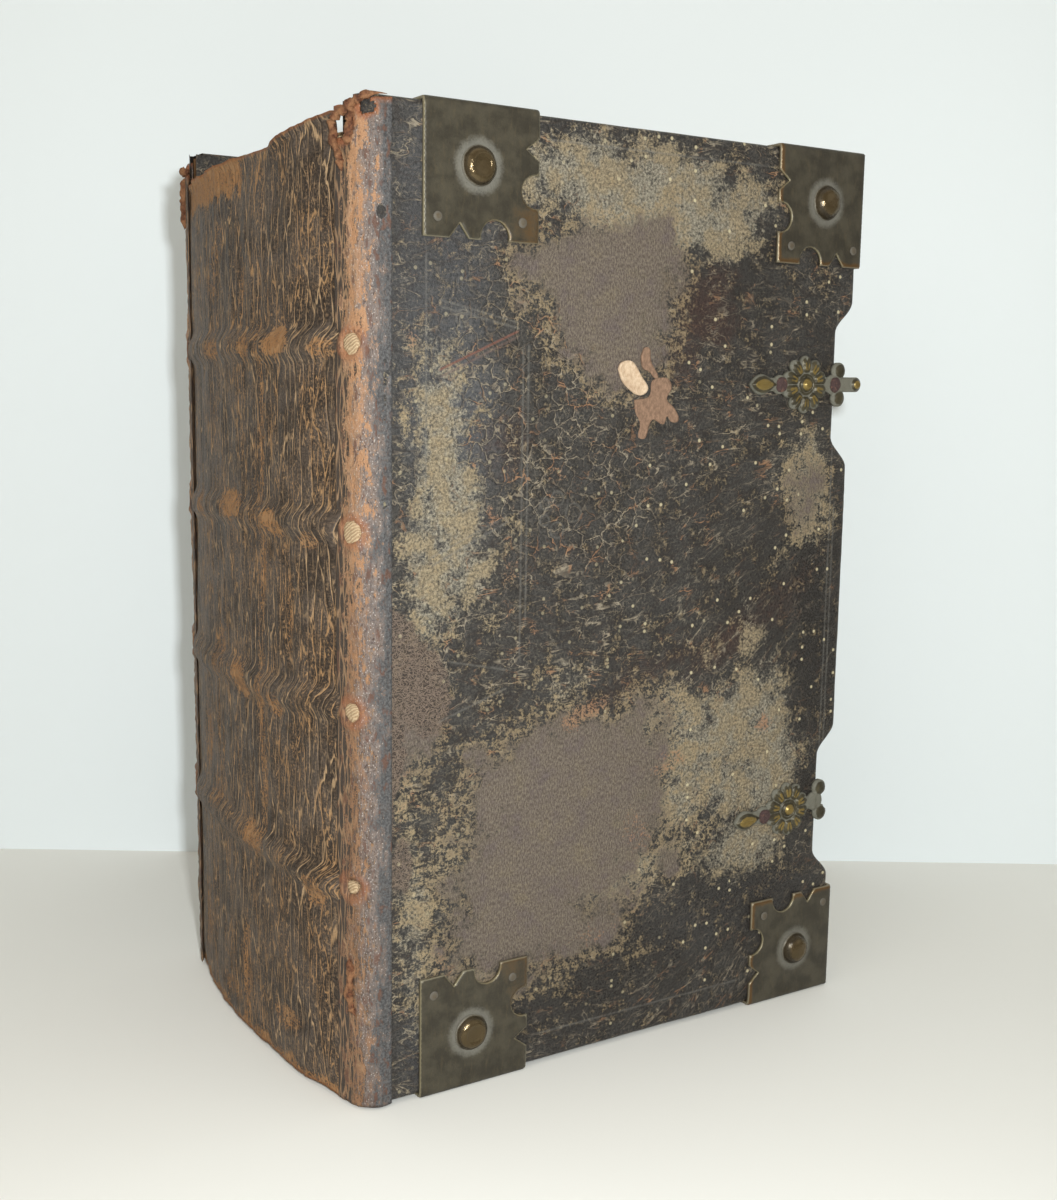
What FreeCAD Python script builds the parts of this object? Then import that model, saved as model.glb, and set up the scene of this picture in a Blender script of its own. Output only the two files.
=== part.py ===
"""Antique leather book, standing on its tail edge. Millimetres, +Z up, the front cover faces -Y,
the spine faces -X. The two covers are mirror images about the plane y = 0, apart from their clasps."""
import FreeCAD, Part
import os
import Sketcher

# Driving sizes: name, value, meaning.
SIZES = [
    ("cover_tall", 200.0, "height over the corner plates"),
    ("cover_wide", 127.4, "hinge line to fore-edge over the corner plates"),
    ("book_thick", 98.8, "outer face to outer face of the corner plates"),
    ("board_thick", 7.0, "wooden board"),
    ("leather_thick", 1.0, "covering leather on the boards"),
    ("turnin_thick", 0.5, "pared leather turned in over the board's inner face"),
    ("turnin_wide", 13.0, "width of the turn-ins"),
    ("paper_gap", 0.2, "gap between pastedown and turn-in"),
    ("spine_thick", 1.2, "leather over the back"),
    ("spine_round", 6.0, "how far the back bulges beyond the hinge lines"),
    ("spine_head_drop", 7.0, "worn head edge of the spine leather below the plates' top"),
    ("spine_tail_rise", 1.2, "worn tail edge of the spine leather above the ground"),
    ("hinge_inset", 5.2, "hinge line below the plates' outer face"),
    ("hinge_room", 1.5, "hinge line to the board's spine edge"),
    ("joint_gap", 0.3, "running gap between cover and book block"),
    ("board_round", 3.5, "rounding of the board's outer spine edge"),
    ("leather_round", 1.2, "rounding of the leather over the other edges"),
    ("block_tail_square", 2.0, "ground to the sagged text block"),
    ("block_head_square", 8.0, "plates' top down to the text block"),
    ("block_fore_square", 6.0, "plates' fore-edge in to the text block"),
    ("fore_hollow", 4.5, "depth of the concave fore-edge"),
    ("shoulder_lead", 0.8, "hinge line in to the tip of the shoulder"),
    ("band_low", 47.0, "height of the lowest raised band"),
    ("band_pitch", 35.6, "from one raised band to the next"),
    ("band_proud", 1.0, "raised band above the back"),
    ("band_stop", 2.5, "end of a raised band in from the hinge line"),
    ("cord_round", 2.1, "radius of a sewing cord's section"),
    ("cord_sunk", 1.0, "centre of a sewing cord inside the text block's back"),
    ("cord_fit", 0.03, "glue between a sewing cord and the text block's back"),
    ("slip_long", 14.0, "laced cord end inside the board"),
    ("slip_start", 1.5, "start of the laced cord end inside the board's rounded edge"),
    ("endband_round", 0.8, "radius of an endband"),
    ("endband_inset", 2.4, "endband in from the back"),
    ("recess_height", 147.5, "height of the upper fore-edge recess's centre"),
    ("recess_low_height", 47.5, "height of the lower fore-edge recess's centre"),
    ("recess_long", 36.0, "length of a recess with its curved ends"),
    ("recess_deep", 5.0, "depth of a recess"),
    ("plate_thick", 0.8, "brass of the corner plates"),
    ("plate_side", 25.8, "side of a corner plate"),
    ("plate_joint_inset", 12.8, "hinge line to the spine-side corner plates"),
    ("plate_run", 5.7, "plain run before the V notch"),
    ("vee_wide", 4.4, "mouth of the V notch"),
    ("vee_deep", 2.9, "depth of the V notch"),
    ("tab_wide", 2.6, "small tab between the two notches"),
    ("scallop_round", 3.2, "radius of the half-round notch"),
    ("scallop_in", 0.7, "centre of the half-round notch inside the plate's edge"),
    ("boss_round", 3.8, "radius of a boss"),
    ("boss_tall", 2.6, "height of a boss above its plate"),
    ("boss_worn", 1.9, "height of a boss worn flat"),
    ("boss_inset", 12.0, "boss in from the plate's two outer edges"),
    ("shank_round", 1.0, "radius of the shanks of bosses and rivets"),
    ("shank_deep", 5.0, "depth of the shanks below the leather's face"),
    ("shank_fit", 0.05, "clearance round a shank"),
    ("nail_round", 0.4, "radius of a nail's shank"),
    ("nail_head", 0.9, "radius of a nail's head"),
    ("nail_head_tall", 0.35, "height of a nail's head"),
    ("nail_inset", 22.0, "nail of the square tab, in from the plate's outer edges"),
    ("nail_edge_inset", 3.0, "nail beside the plate's outer edge"),
    ("catch_thick", 1.0, "cast clasp plates"),
    ("catch_reach", 32.3, "tip of a catch in from the cover's fore-edge"),
    ("catch_tip_long", 6.3, "length of the pointed tip"),
    ("catch_tip_half", 2.0, "half height of the pointed tip"),
    ("catch_neck_half", 1.5, "half height of the neck"),
    ("catch_rivet_reach", 23.4, "inner rivet in from the fore-edge"),
    ("flower_reach", 16.0, "centre of the flower in from the fore-edge"),
    ("flower_ring", 4.6, "radius on which the petals stand"),
    ("petal_round", 1.8, "radius of a petal"),
    ("petal_proud", 0.4, "petals above the plate"),
    ("flower_boss_round", 2.2, "radius of the flower's middle"),
    ("flower_boss_proud", 1.2, "middle of the flower above the plate"),
    ("catch_edge_reach", 7.1, "outer rivet in from the fore-edge"),
    ("lobe_round", 1.9, "radius of a side lobe"),
    ("lobe_spread", 3.2, "side lobe above or below the catch's middle"),
    ("lobe_reach", 5.6, "centre of a side lobe in from the fore-edge"),
    ("tongue_half", 1.7, "half height of the tongue"),
    ("tongue_proud", 1.5, "tongue beyond the fore-edge"),
    ("rivet_head", 1.5, "radius of a rivet's head"),
    ("rivet_head_tall", 0.6, "height of a rivet's head"),
    ("anchor_long", 17.0, "plain clasp plate on the back cover"),
    ("anchor_half", 6.0, "half height of a plain clasp plate"),
    ("anchor_reach", 24.0, "inner end of a plain clasp plate in from the fore-edge"),
    ("anchor_nail_inset", 4.0, "nail in from an end of a plain clasp plate"),
]

# Sizes that follow from the driving ones. Those that end in _out or _half lie off the plane y = 0.
FOLLOWING = [
    ("fore_x", "(cover_wide + spine_round + band_proud - tongue_proud) / 2"),
    ("hinge_x", "fore_x - cover_wide"),
    ("plate_out", "book_thick / 2"),
    ("leather_out", "plate_out - plate_thick"),
    ("board_out", "leather_out - leather_thick"),
    ("board_in", "board_out - board_thick"),
    ("turnin_in", "board_in - turnin_thick"),
    ("block_half", "turnin_in - joint_gap"),
    ("hinge_half", "plate_out - hinge_inset"),
    ("board_x", "hinge_x + hinge_room"),
    ("board_fore_x", "fore_x - plate_thick - leather_thick"),
    ("board_low", "plate_thick + leather_thick"),
    ("board_high", "cover_tall - board_low"),
    ("spine_radius", "(hinge_half * hinge_half + spine_round * spine_round) / (2 * spine_round)"),
    ("spine_centre_x", "hinge_x - spine_round + spine_radius"),
    ("spine_span", "2 * asin(hinge_half / spine_radius)"),
    ("band_span", "2 * asin((hinge_half - band_stop) / spine_radius)"),
    ("endband_span", "2 * asin((block_half - joint_gap) / spine_radius)"),
    ("back_radius", "spine_radius - spine_thick"),
    ("skin_x", "spine_centre_x - spine_radius"),
    ("back_x", "spine_centre_x - back_radius"),
    ("groove_half", "sqrt(cord_round * cord_round - cord_sunk * cord_sunk)"),
    ("cord_x", "back_x - cord_fit"),
    ("cord_half", "sqrt(cord_round * cord_round - (cord_sunk + cord_fit) * (cord_sunk + cord_fit))"),
    ("swell_round", "cord_sunk + spine_thick + band_proud"),
    ("swell_half", "sqrt(2 * swell_round * band_proud - band_proud * band_proud)"),
    ("spine_low", "spine_tail_rise"),
    ("spine_high", "cover_tall - spine_head_drop"),
    ("block_high", "cover_tall - block_head_square"),
    ("block_fore_x", "fore_x - block_fore_square"),
    ("shoulder_x", "board_x - joint_gap"),
    ("shoulder_half", "hinge_half - shoulder_lead"),
    ("shank_out", "leather_out - shank_deep"),
]

CORNERS = {
    "head_spine": ("Size.hinge_x + Size.plate_joint_inset", 1, "Size.cover_tall", -1),
    "head_fore": ("Size.fore_x", -1, "Size.cover_tall", -1),
    "tail_fore": ("Size.fore_x", -1, "0", 1),
    "tail_spine": ("Size.hinge_x + Size.plate_joint_inset", 1, "0", 1),
}
BANDS = range(4)
PETALS = 10
CATCH_HEIGHTS = {"upper": "Size.recess_height", "lower": "Size.recess_low_height"}

doc = FreeCAD.newDocument("Book")
sheet = doc.addObject("Spreadsheet::Sheet", "Size")
nodes = []


def fill_sheet():
    for row, (name, value, meaning) in enumerate(SIZES, 1):
        sheet.set(f"A{row}", meaning)
        sheet.set(f"B{row}", str(value))
        sheet.setAlias(f"B{row}", name)
    for row, (name, formula) in enumerate(FOLLOWING, len(SIZES) + 1):
        sheet.set(f"A{row}", name)
        sheet.set(f"B{row}", "=" + formula)
        sheet.setAlias(f"B{row}", name)
    doc.recompute()


def value(formula):
    return float(sheet.evalExpression(formula))


def bind(thing, **formulas):
    """Ties properties to formulas. A double underscore in a name stands for a dot."""
    for name, formula in formulas.items():
        thing.setExpression(name.replace("__", "."), formula)


def keep(thing, node):
    """Names a finished sub-part."""
    thing.Label = node
    nodes.append(thing)
    return thing


def new_body(name):
    return doc.addObject("PartDesign::Body", name)


def new_sketch(body, role, out="0"):
    """A sketch on one of the body's own planes, moved off it by the formula out."""
    plane = next(face for face in body.Origin.OriginFeatures if face.Role == role)
    sketch = body.newObject("Sketcher::SketchObject", body.Name + "_sketch")
    sketch.AttachmentSupport = (plane, [""])
    sketch.MapMode = "FlatFace"
    bind(sketch, AttachmentOffset__Base__z=out)
    return sketch


def fix_point(sketch, side, end, corner):
    for kind, formula in zip(("DistanceX", "DistanceY"), corner):
        index = sketch.addConstraint(Sketcher.Constraint(kind, -1, 1, side, end, value(formula)))
        sketch.setExpression(f"Constraints[{index}]", formula)


def bulged(start, end, radius, turn):
    """The arc of that radius from start to end. It bulges to the left for turn 1, to the right for -1."""
    chord = end - start
    half = chord.Length / 2
    sag = radius - (radius * radius - half * half) ** 0.5
    normal = FreeCAD.Vector(-chord.y, chord.x, 0).normalize()
    return Part.Arc(start, (start + end) / 2 + normal * sag * turn, end)


def outline(sketch, corners, arcs=None):
    """A closed loop through corners, pairs of formulas. arcs gives, for the side that starts at a corner,
    its radius and turn."""
    arcs = arcs or {}
    points = [FreeCAD.Vector(value(across), value(up), 0) for across, up in corners]
    for number, start in enumerate(points):
        following = (number + 1) % len(points)
        end = points[following]
        if number not in arcs:
            side = sketch.addGeometry(Part.LineSegment(start, end))
            first, last = 1, 2
        else:
            radius, turn = arcs[number]
            side = sketch.addGeometry(bulged(start, end, value(radius), turn))
            index = sketch.addConstraint(Sketcher.Constraint("Radius", side, value(radius)))
            sketch.setExpression(f"Constraints[{index}]", radius)
            first = 1 if sketch.getPoint(side, 1).distanceToPoint(start) < 1e-6 else 2
            last = 3 - first
        fix_point(sketch, side, first, corners[number])
        fix_point(sketch, side, last, corners[following])


def pad(body, sketch, length):
    feature = body.newObject("PartDesign::Pad", body.Name + "_pad")
    feature.Profile = sketch
    bind(feature, Length=length)
    doc.recompute()
    return feature


def box(name, low_x, out, low_z, wide, deep, tall):
    """A block whose outer face lies at y = -out, deep measured inwards."""
    block = doc.addObject("Part::Box", name)
    bind(block, Length=wide, Width=deep, Height=tall)
    bind(block, Placement__Base__x=low_x, Placement__Base__y=f"-({out})", Placement__Base__z=low_z)
    return block


def round_bar(name, across, inner, up, radius, length):
    """A round bar square to the cover, from y = -inner outwards."""
    bar = doc.addObject("Part::Cylinder", name)
    bar.Placement.Rotation = FreeCAD.Rotation(FreeCAD.Vector(1, 0, 0), 90)
    bind(bar, Radius=radius, Height=length)
    bind(bar, Placement__Base__x=across, Placement__Base__y=f"-({inner})", Placement__Base__z=up)
    return bar


def fuse(name, pieces):
    joined = doc.addObject("Part::MultiFuse", name)
    joined.Shapes = pieces
    joined.Refine = True
    return joined


def cut(name, base, tool):
    left = doc.addObject("Part::Cut", name)
    left.Base = base
    left.Tool = tool
    return left


def group(name, pieces):
    gathered = doc.addObject("Part::Compound", name)
    gathered.Links = pieces
    return gathered


def band_height(number):
    return f"Size.band_low + {number} * Size.band_pitch"


def round_the_back(name, span, corners, arcs=None):
    """Sweeps an upright section round the axis of the rounded back, as far as span on both sides."""
    body = new_body(name)
    sketch = new_sketch(body, "XZ_Plane")
    outline(sketch, corners, arcs)
    axis_x = value("Size.spine_centre_x")
    axis = sketch.addGeometry(
        Part.LineSegment(FreeCAD.Vector(axis_x, 10, 0), FreeCAD.Vector(axis_x, 30, 0)), True)
    fix_point(sketch, axis, 1, ("Size.spine_centre_x", "10"))
    fix_point(sketch, axis, 2, ("Size.spine_centre_x", "30"))
    turn = body.newObject("PartDesign::Revolution", name + "_turn")
    turn.Profile = sketch
    turn.ReferenceAxis = (sketch, ["Axis0"])
    turn.Midplane = True
    bind(turn, Angle=span)
    doc.recompute()
    return body


def text_block():
    """All leaves: rounded back, two shoulders folded out behind the boards, hollow fore-edge."""
    body = new_body("text_block")
    sketch = new_sketch(body, "XY_Plane", "Size.block_tail_square")
    reach = "sqrt(Size.back_radius^2 - Size.shoulder_half^2)"
    tip_x = f"Size.spine_centre_x - {reach}"
    corners = [
        (tip_x, "-Size.shoulder_half"),
        ("Size.shoulder_x", "-Size.shoulder_half"),
        ("Size.shoulder_x", "-Size.block_half"),
        ("Size.block_fore_x", "-Size.block_half"),
        ("Size.block_fore_x", "Size.block_half"),
        ("Size.shoulder_x", "Size.block_half"),
        ("Size.shoulder_x", "Size.shoulder_half"),
        (tip_x, "Size.shoulder_half"),
    ]
    hollow = "(Size.block_half^2 + Size.fore_hollow^2) / (2 * Size.fore_hollow)"
    outline(sketch, corners, {3: (hollow, 1), 7: ("Size.back_radius", -1)})
    pad(body, sketch, "Size.block_high - Size.block_tail_square")
    keep(body, "text_block")


def cord(number):
    """A cord across the back, flattened against the text block and covered by the leather."""
    height = band_height(number)
    ends = [("Size.cord_x", f"{height} - Size.cord_half"), ("Size.cord_x", f"{height} + Size.cord_half")]
    node = f"sewing_cord_{number + 1}"
    keep(round_the_back(node, "Size.band_span", ends, {0: ("Size.cord_round", 1)}), node)


def swollen_skin():
    """The middle of the spine leather, with a swelling outside and a groove inside at each cord."""
    corners = [("Size.back_x", "Size.spine_low"), ("Size.skin_x", "Size.spine_low")]
    arcs = {}
    for number in BANDS:
        arcs[len(corners)] = ("Size.swell_round", 1)
        corners.append(("Size.skin_x", f"{band_height(number)} - Size.swell_half"))
        corners.append(("Size.skin_x", f"{band_height(number)} + Size.swell_half"))
    corners += [("Size.skin_x", "Size.spine_high"), ("Size.back_x", "Size.spine_high")]
    for number in reversed(BANDS):
        arcs[len(corners)] = ("Size.cord_round", -1)
        corners.append(("Size.back_x", f"{band_height(number)} + Size.groove_half"))
        corners.append(("Size.back_x", f"{band_height(number)} - Size.groove_half"))
    return round_the_back("swollen_skin", "Size.band_span", corners, arcs)


def plain_skin(name, span, spare="0"):
    """A skin without swellings, made thicker on both sides by the formula spare."""
    inner_x, outer_x = f"Size.back_x + {spare}", f"Size.skin_x - {spare}"
    corners = [(inner_x, "Size.spine_low"), (outer_x, "Size.spine_low"),
               (outer_x, "Size.spine_high"), (inner_x, "Size.spine_high")]
    return round_the_back(name, span, corners)


def spine_leather():
    """One skin over the back, plain beside the joints. Its ends at head and tail are worn through."""
    middle = plain_skin("skin_middle", "Size.band_span", "Size.spine_thick")
    beside = cut("skin_beside_joints", plain_skin("plain_skin", "Size.spine_span"), middle)
    keep(fuse("spine_leather", [swollen_skin(), beside]), "spine_leather")


def endband(name, low_z):
    """A thin sewn roll lying on the end of the text block, along the back."""
    middle_x = "Size.back_x + Size.endband_inset"
    ends = [(f"{middle_x} - Size.endband_round", f"{low_z} + Size.endband_round"),
            (f"{middle_x} + Size.endband_round", f"{low_z} + Size.endband_round")]
    half_turn = "Size.endband_round * 1.0001"
    arcs = {0: (half_turn, 1), 1: (half_turn, 1)}
    keep(round_the_back(name, "Size.endband_span", ends, arcs), name)


def cover_outline(sketch, grow):
    """A board's outline with its two recesses, or the same outline grown by a leather's thickness."""
    low_x, high_x = f"Size.board_x - {grow}", f"Size.board_fore_x + {grow}"
    low_z, high_z = f"Size.board_low - {grow}", f"Size.board_high + {grow}"
    bend = "Size.recess_deep / 2"
    corners = [(low_x, low_z), (high_x, low_z)]
    arcs = {}
    for height in ("Size.recess_low_height", "Size.recess_height"):
        start, end = f"{height} - Size.recess_long / 2", f"{height} + Size.recess_long / 2"
        middle_x = f"Size.board_fore_x - {bend}"
        floor_x = f"Size.board_fore_x - Size.recess_deep + {grow}"
        first = len(corners)
        corners += [
            (high_x, start),
            (middle_x, f"{start} + {bend} + {grow}"),
            (floor_x, f"{start} + Size.recess_deep"),
            (floor_x, f"{end} - Size.recess_deep"),
            (middle_x, f"{end} - {bend} - {grow}"),
            (high_x, end),
        ]
        arcs[first] = (f"{bend} + {grow}", -1)
        arcs[first + 1] = (f"{bend} - {grow}", 1)
        arcs[first + 3] = (f"{bend} - {grow}", 1)
        arcs[first + 4] = (f"{bend} + {grow}", -1)
    corners += [(high_x, high_z), (low_x, high_z)]
    outline(sketch, corners, arcs)


def edges_at(shape, out, wanted):
    """Names of the edges that lie in the plane y = -out and pass the test wanted."""
    names = []
    for number, edge in enumerate(shape.Edges, 1):
        bounds = edge.BoundBox
        if max(abs(bounds.YMin + out), abs(bounds.YMax + out)) < 1e-4 and wanted(bounds):
            names.append(f"Edge{number}")
    return names


def rounded(body, base, names, radius):
    feature = body.newObject("PartDesign::Fillet", body.Name + "_round")
    feature.Base = (base, names)
    bind(feature, Radius=radius)
    doc.recompute()
    return feature


def cover_slab(name, grow, inner, outer):
    """A board or its leather envelope, from y = -inner out to y = -outer, its spine edge well rounded."""
    body = new_body(name)
    sketch = new_sketch(body, "XZ_Plane", inner)
    cover_outline(sketch, grow)
    slab = pad(body, sketch, f"{outer} - {inner}")
    spine_x = value(f"Size.board_x - {grow}")
    spine_edge = edges_at(slab.Shape, value(outer), lambda bounds: bounds.XMax < spine_x + 0.01)
    return body, rounded(body, slab, spine_edge, f"Size.board_round + {grow}")


def leather_envelope():
    """The outer form of the covering leather, its head, tail and fore-edge softly rounded."""
    body, shell = cover_slab("leather_envelope", "Size.leather_thick", "Size.turnin_in", "Size.leather_out")
    flat_x = value("Size.board_x + Size.board_round")
    rest = edges_at(shell.Shape, value("Size.leather_out"), lambda bounds: bounds.XMax > flat_x + 0.01)
    rounded(body, shell, rest, "Size.leather_round")
    return body


def fastener_places():
    """Every shank of the front cover: name, x, z, radius."""
    places = []
    for corner, (corner_x, way_x, corner_z, way_z) in CORNERS.items():
        def inset(distance_x, distance_z):
            return f"{corner_x} + {way_x} * {distance_x}", f"{corner_z} + {way_z} * {distance_z}"
        boss_at, nail_at = "Size.boss_inset", "Size.nail_inset"
        places.append((f"boss_{corner}", *inset(boss_at, boss_at), "Size.shank_round"))
        places.append((f"nail_{corner}", *inset(nail_at, nail_at), "Size.nail_round"))
        places.append((f"pin_{corner}", *inset("Size.nail_edge_inset", nail_at), "Size.nail_round"))
    rivet_x, edge_x = "Size.fore_x - Size.catch_rivet_reach", "Size.fore_x - Size.catch_edge_reach"
    for catch, height in CATCH_HEIGHTS.items():
        places.append((f"rivet_{catch}", rivet_x, height, "Size.shank_round"))
    places.append(("rivet_edge", edge_x, "Size.recess_height", "Size.shank_round"))
    return places


def back_nail_places():
    """The two nails of each plain clasp plate of the back cover: name, x, z, radius."""
    inner = "Size.fore_x - Size.anchor_reach + Size.anchor_nail_inset"
    outer = "Size.fore_x - Size.anchor_reach + Size.anchor_long - Size.anchor_nail_inset"
    return [(f"anchor_{catch}_{side}", across, height, "Size.nail_round")
            for catch, height in CATCH_HEIGHTS.items() for side, across in (("in", inner), ("out", outer))]


def holes(name, places):
    """The holes that the shanks need in plates, leather and board."""
    bars = [round_bar(f"{name}_{place}", across, "Size.shank_out", up, f"{radius} + Size.shank_fit",
                      "Size.shank_deep + 2 * Size.plate_thick")
            for place, across, up, radius in places]
    return group(name, bars)


def lacing(name, start, radius):
    """Four round bars along X from the board's edge: the laced cord ends, or the tunnels bored for them."""
    bars = []
    for number in BANDS:
        bar = doc.addObject("Part::Cylinder", f"{name}_{number + 1}")
        bar.Placement.Rotation = FreeCAD.Rotation(FreeCAD.Vector(0, 1, 0), 90)
        bind(bar, Radius=radius, Height=f"Size.slip_long - {start}")
        bind(bar, Placement__Base__x=f"Size.board_x + {start}", Placement__Base__y="-Size.hinge_half",
             Placement__Base__z=band_height(number))
        bars.append(bar)
    return group(name, bars)


def boards_and_leather(side, drilled, slab, envelope):
    """The board with its tunnels and holes, and the leather skin that wraps it and turns in over it."""
    tunnels = lacing(f"{side}_tunnels", "0", "Size.cord_round + Size.shank_fit")
    board = cut(f"{side}_board", slab, group(f"{side}_board_cuts", [drilled, tunnels]))
    inside_z = "Size.board_low + Size.turnin_wide"
    window = box(f"{side}_window", "Size.board_x - 2 * Size.leather_thick", "Size.board_in", inside_z,
                 "Size.board_fore_x - Size.turnin_wide - Size.board_x + 2 * Size.leather_thick",
                 "2 * Size.turnin_thick", f"Size.cover_tall - 2 * ({inside_z})")
    bare_edge = box(f"{side}_bare_edge", "Size.board_x - 2 * Size.leather_thick",
                    "Size.hinge_half + Size.joint_gap", "0", "2 * Size.leather_thick", "Size.board_thick",
                    "Size.cover_tall")
    inner = fuse(f"{side}_leather_cuts", [slab, window, bare_edge, drilled])
    return board, cut(f"{side}_leather", envelope, inner)


def pastedown():
    low_z = "Size.board_low + Size.turnin_wide + Size.paper_gap"
    return box("front_pastedown", "Size.board_x + Size.paper_gap", "Size.board_in", low_z,
               "Size.board_fore_x - Size.turnin_wide - Size.board_x - 2 * Size.paper_gap",
               "Size.turnin_thick", f"Size.cover_tall - 2 * ({low_z})")


def plate_face(name, corner_x, way_x, corner_z, way_z):
    """The notched face of a corner plate: run, V notch, tab and half-round notch on both inner sides."""
    body = new_body(name)
    sketch = new_sketch(body, "XZ_Plane", "Size.leather_out")
    vee_tip = "Size.plate_run + Size.vee_wide / 2"
    vee_end = "Size.plate_run + Size.vee_wide"
    side = "Size.plate_side"
    deep = "Size.plate_side - Size.vee_deep"
    along = [("0", "0"), (side, "0"), (side, "Size.plate_run"), (deep, vee_tip), (side, vee_end),
             (side, side), (vee_end, side), (vee_tip, deep), ("Size.plate_run", side), ("0", side)]
    outline(sketch, [(f"{corner_x} + {way_x} * ({across})", f"{corner_z} + {way_z} * ({up})")
                     for across, up in along])
    pad(body, sketch, "Size.plate_thick")
    return body


def scallop(name, corner_x, way_x, corner_z, way_z, along_x, along_z):
    return round_bar(name, f"{corner_x} + {way_x} * ({along_x})", "Size.board_out",
                     f"{corner_z} + {way_z} * ({along_z})", "Size.scallop_round",
                     "Size.leather_thick + 2 * Size.plate_thick")


def corner_plate(corner, drilled):
    """Sheet brass, notched, folded over the board's edges and nailed."""
    corner_x, way_x, corner_z, way_z = CORNERS[corner]
    face = plate_face(f"plate_face_{corner}", corner_x, way_x, corner_z, way_z)
    low_x = corner_x if way_x > 0 else f"{corner_x} - Size.plate_side"
    low_z = corner_z if way_z > 0 else f"{corner_z} - Size.plate_side"
    end_z = corner_z if way_z > 0 else f"{corner_z} - Size.plate_thick"
    folds = [box(f"end_fold_{corner}", low_x, "Size.plate_out", end_z, "Size.plate_side",
                 "Size.plate_out - Size.board_in", "Size.plate_thick")]
    if way_x < 0:
        folds.append(box(f"fore_fold_{corner}", f"{corner_x} - Size.plate_thick", "Size.plate_out", low_z,
                         "Size.plate_thick", "Size.plate_out - Size.board_in", "Size.plate_side"))
    notch_at = "Size.plate_run + Size.vee_wide + Size.tab_wide + Size.scallop_round"
    edge_at = "Size.plate_side - Size.scallop_in"
    bites = [scallop(f"scallop_a_{corner}", *CORNERS[corner], edge_at, notch_at),
             scallop(f"scallop_b_{corner}", *CORNERS[corner], notch_at, edge_at)]
    folded = fuse(f"folded_{corner}", [face] + folds)
    cuts = group(f"plate_cuts_{corner}", [drilled] + bites)
    return cut(f"front_plate_{corner}", folded, cuts)


def boss(corner, place):
    """A domed brass stud whose shank passes through plate and leather into the board."""
    name, across, up, radius = place
    cut_at = "Size.boss_worn" if corner.endswith("spine") else "2 * Size.boss_tall"
    dome_radius = "(Size.boss_round^2 + Size.boss_tall^2) / (2 * Size.boss_tall)"
    ball = doc.addObject("Part::Sphere", f"ball_{corner}")
    bind(ball, Radius=dome_radius, Placement__Base__x=across, Placement__Base__z=up,
         Placement__Base__y=f"-(Size.plate_out + Size.boss_tall - {dome_radius})")
    stub = round_bar(f"stub_{corner}", across, "Size.plate_out", up, "2 * Size.boss_round", cut_at)
    dome = doc.addObject("Part::Common", f"dome_{corner}")
    dome.Base, dome.Tool = ball, stub
    shank = round_bar(f"shank_{corner}", across, "Size.shank_out", up, radius,
                      "Size.plate_out - Size.shank_out + Size.boss_worn / 2")
    return fuse(f"front_boss_{corner}", [dome, shank])


def headed_pin(place, seat, head, head_tall):
    """A nail or rivet: a flat round head on the seat and a shank down into the board."""
    name, across, up, radius = place
    top = round_bar(f"head_{name}", across, seat, up, head, head_tall)
    shank = round_bar(f"stem_{name}", across, "Size.shank_out", up, radius,
                      f"{seat} - Size.shank_out + {head_tall}")
    return fuse(f"pin_of_{name}", [top, shank])


def catch_arrow(name, height):
    """The pointed tip and the neck that runs under the flower to the cover's edge."""
    body = new_body(name)
    sketch = new_sketch(body, "XZ_Plane", "Size.leather_out")
    tip = "Size.fore_x - Size.catch_reach"
    barb = f"{tip} + Size.catch_tip_long"
    end = "Size.fore_x - Size.lobe_reach"
    corners = [(tip, height), (barb, f"{height} - Size.catch_tip_half"),
               (barb, f"{height} - Size.catch_neck_half"), (end, f"{height} - Size.catch_neck_half"),
               (end, f"{height} + Size.catch_neck_half"), (barb, f"{height} + Size.catch_neck_half"),
               (barb, f"{height} + Size.catch_tip_half")]
    outline(sketch, corners)
    pad(body, sketch, "Size.catch_thick")
    return body


def catch_plate(catch, height, drilled, whole):
    """A cast brass catch: arrow, flower with a raised middle, two side lobes and, where whole, a tongue."""
    flower_x = "Size.fore_x - Size.flower_reach"
    rivet_x = "Size.fore_x - Size.catch_rivet_reach"
    edge_x = "Size.fore_x - Size.catch_edge_reach"
    lobe_x = "Size.fore_x - Size.lobe_reach"
    seat = "Size.leather_out"
    petal_tall = "Size.catch_thick + Size.petal_proud"
    pieces = [
        catch_arrow(f"catch_arrow_{catch}", height),
        round_bar(f"rivet_eye_{catch}", rivet_x, seat, height, "2 * Size.shank_round", "Size.catch_thick"),
        round_bar(f"edge_eye_{catch}", edge_x, seat, height, "2.2 * Size.shank_round", "Size.catch_thick"),
        round_bar(f"flower_disc_{catch}", flower_x, seat, height, "Size.flower_ring", petal_tall),
        round_bar(f"flower_boss_{catch}", flower_x, seat, height, "Size.flower_boss_round",
                  "Size.catch_thick + Size.flower_boss_proud"),
    ]
    for number in range(PETALS):
        angle = f"{(number + 0.5) * 360 / PETALS} deg"
        across = f"{flower_x} + Size.flower_ring * cos({angle})"
        up = f"{height} + Size.flower_ring * sin({angle})"
        petal = f"petal_{catch}_{number}"
        pieces.append(round_bar(petal, across, seat, up, "Size.petal_round", petal_tall))
    for number, way in enumerate((-1, 1)):
        lobe, up = f"lobe_{catch}_{number}", f"{height} + {way} * Size.lobe_spread"
        pieces.append(round_bar(lobe, lobe_x, seat, up, "Size.lobe_round", "Size.catch_thick"))
    if whole:
        tongue_end = "Size.fore_x + Size.tongue_proud - Size.tongue_half"
        pieces.append(box(f"tongue_{catch}", edge_x, f"{seat} + Size.catch_thick",
                          f"{height} - Size.tongue_half", f"{tongue_end} - ({edge_x})", "Size.catch_thick",
                          "2 * Size.tongue_half"))
        pieces.append(round_bar(f"tongue_end_{catch}", tongue_end, seat, height, "Size.tongue_half",
                                "Size.catch_thick"))
    return cut(f"front_catch_{catch}", fuse(f"catch_cast_{catch}", pieces), drilled)


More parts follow.
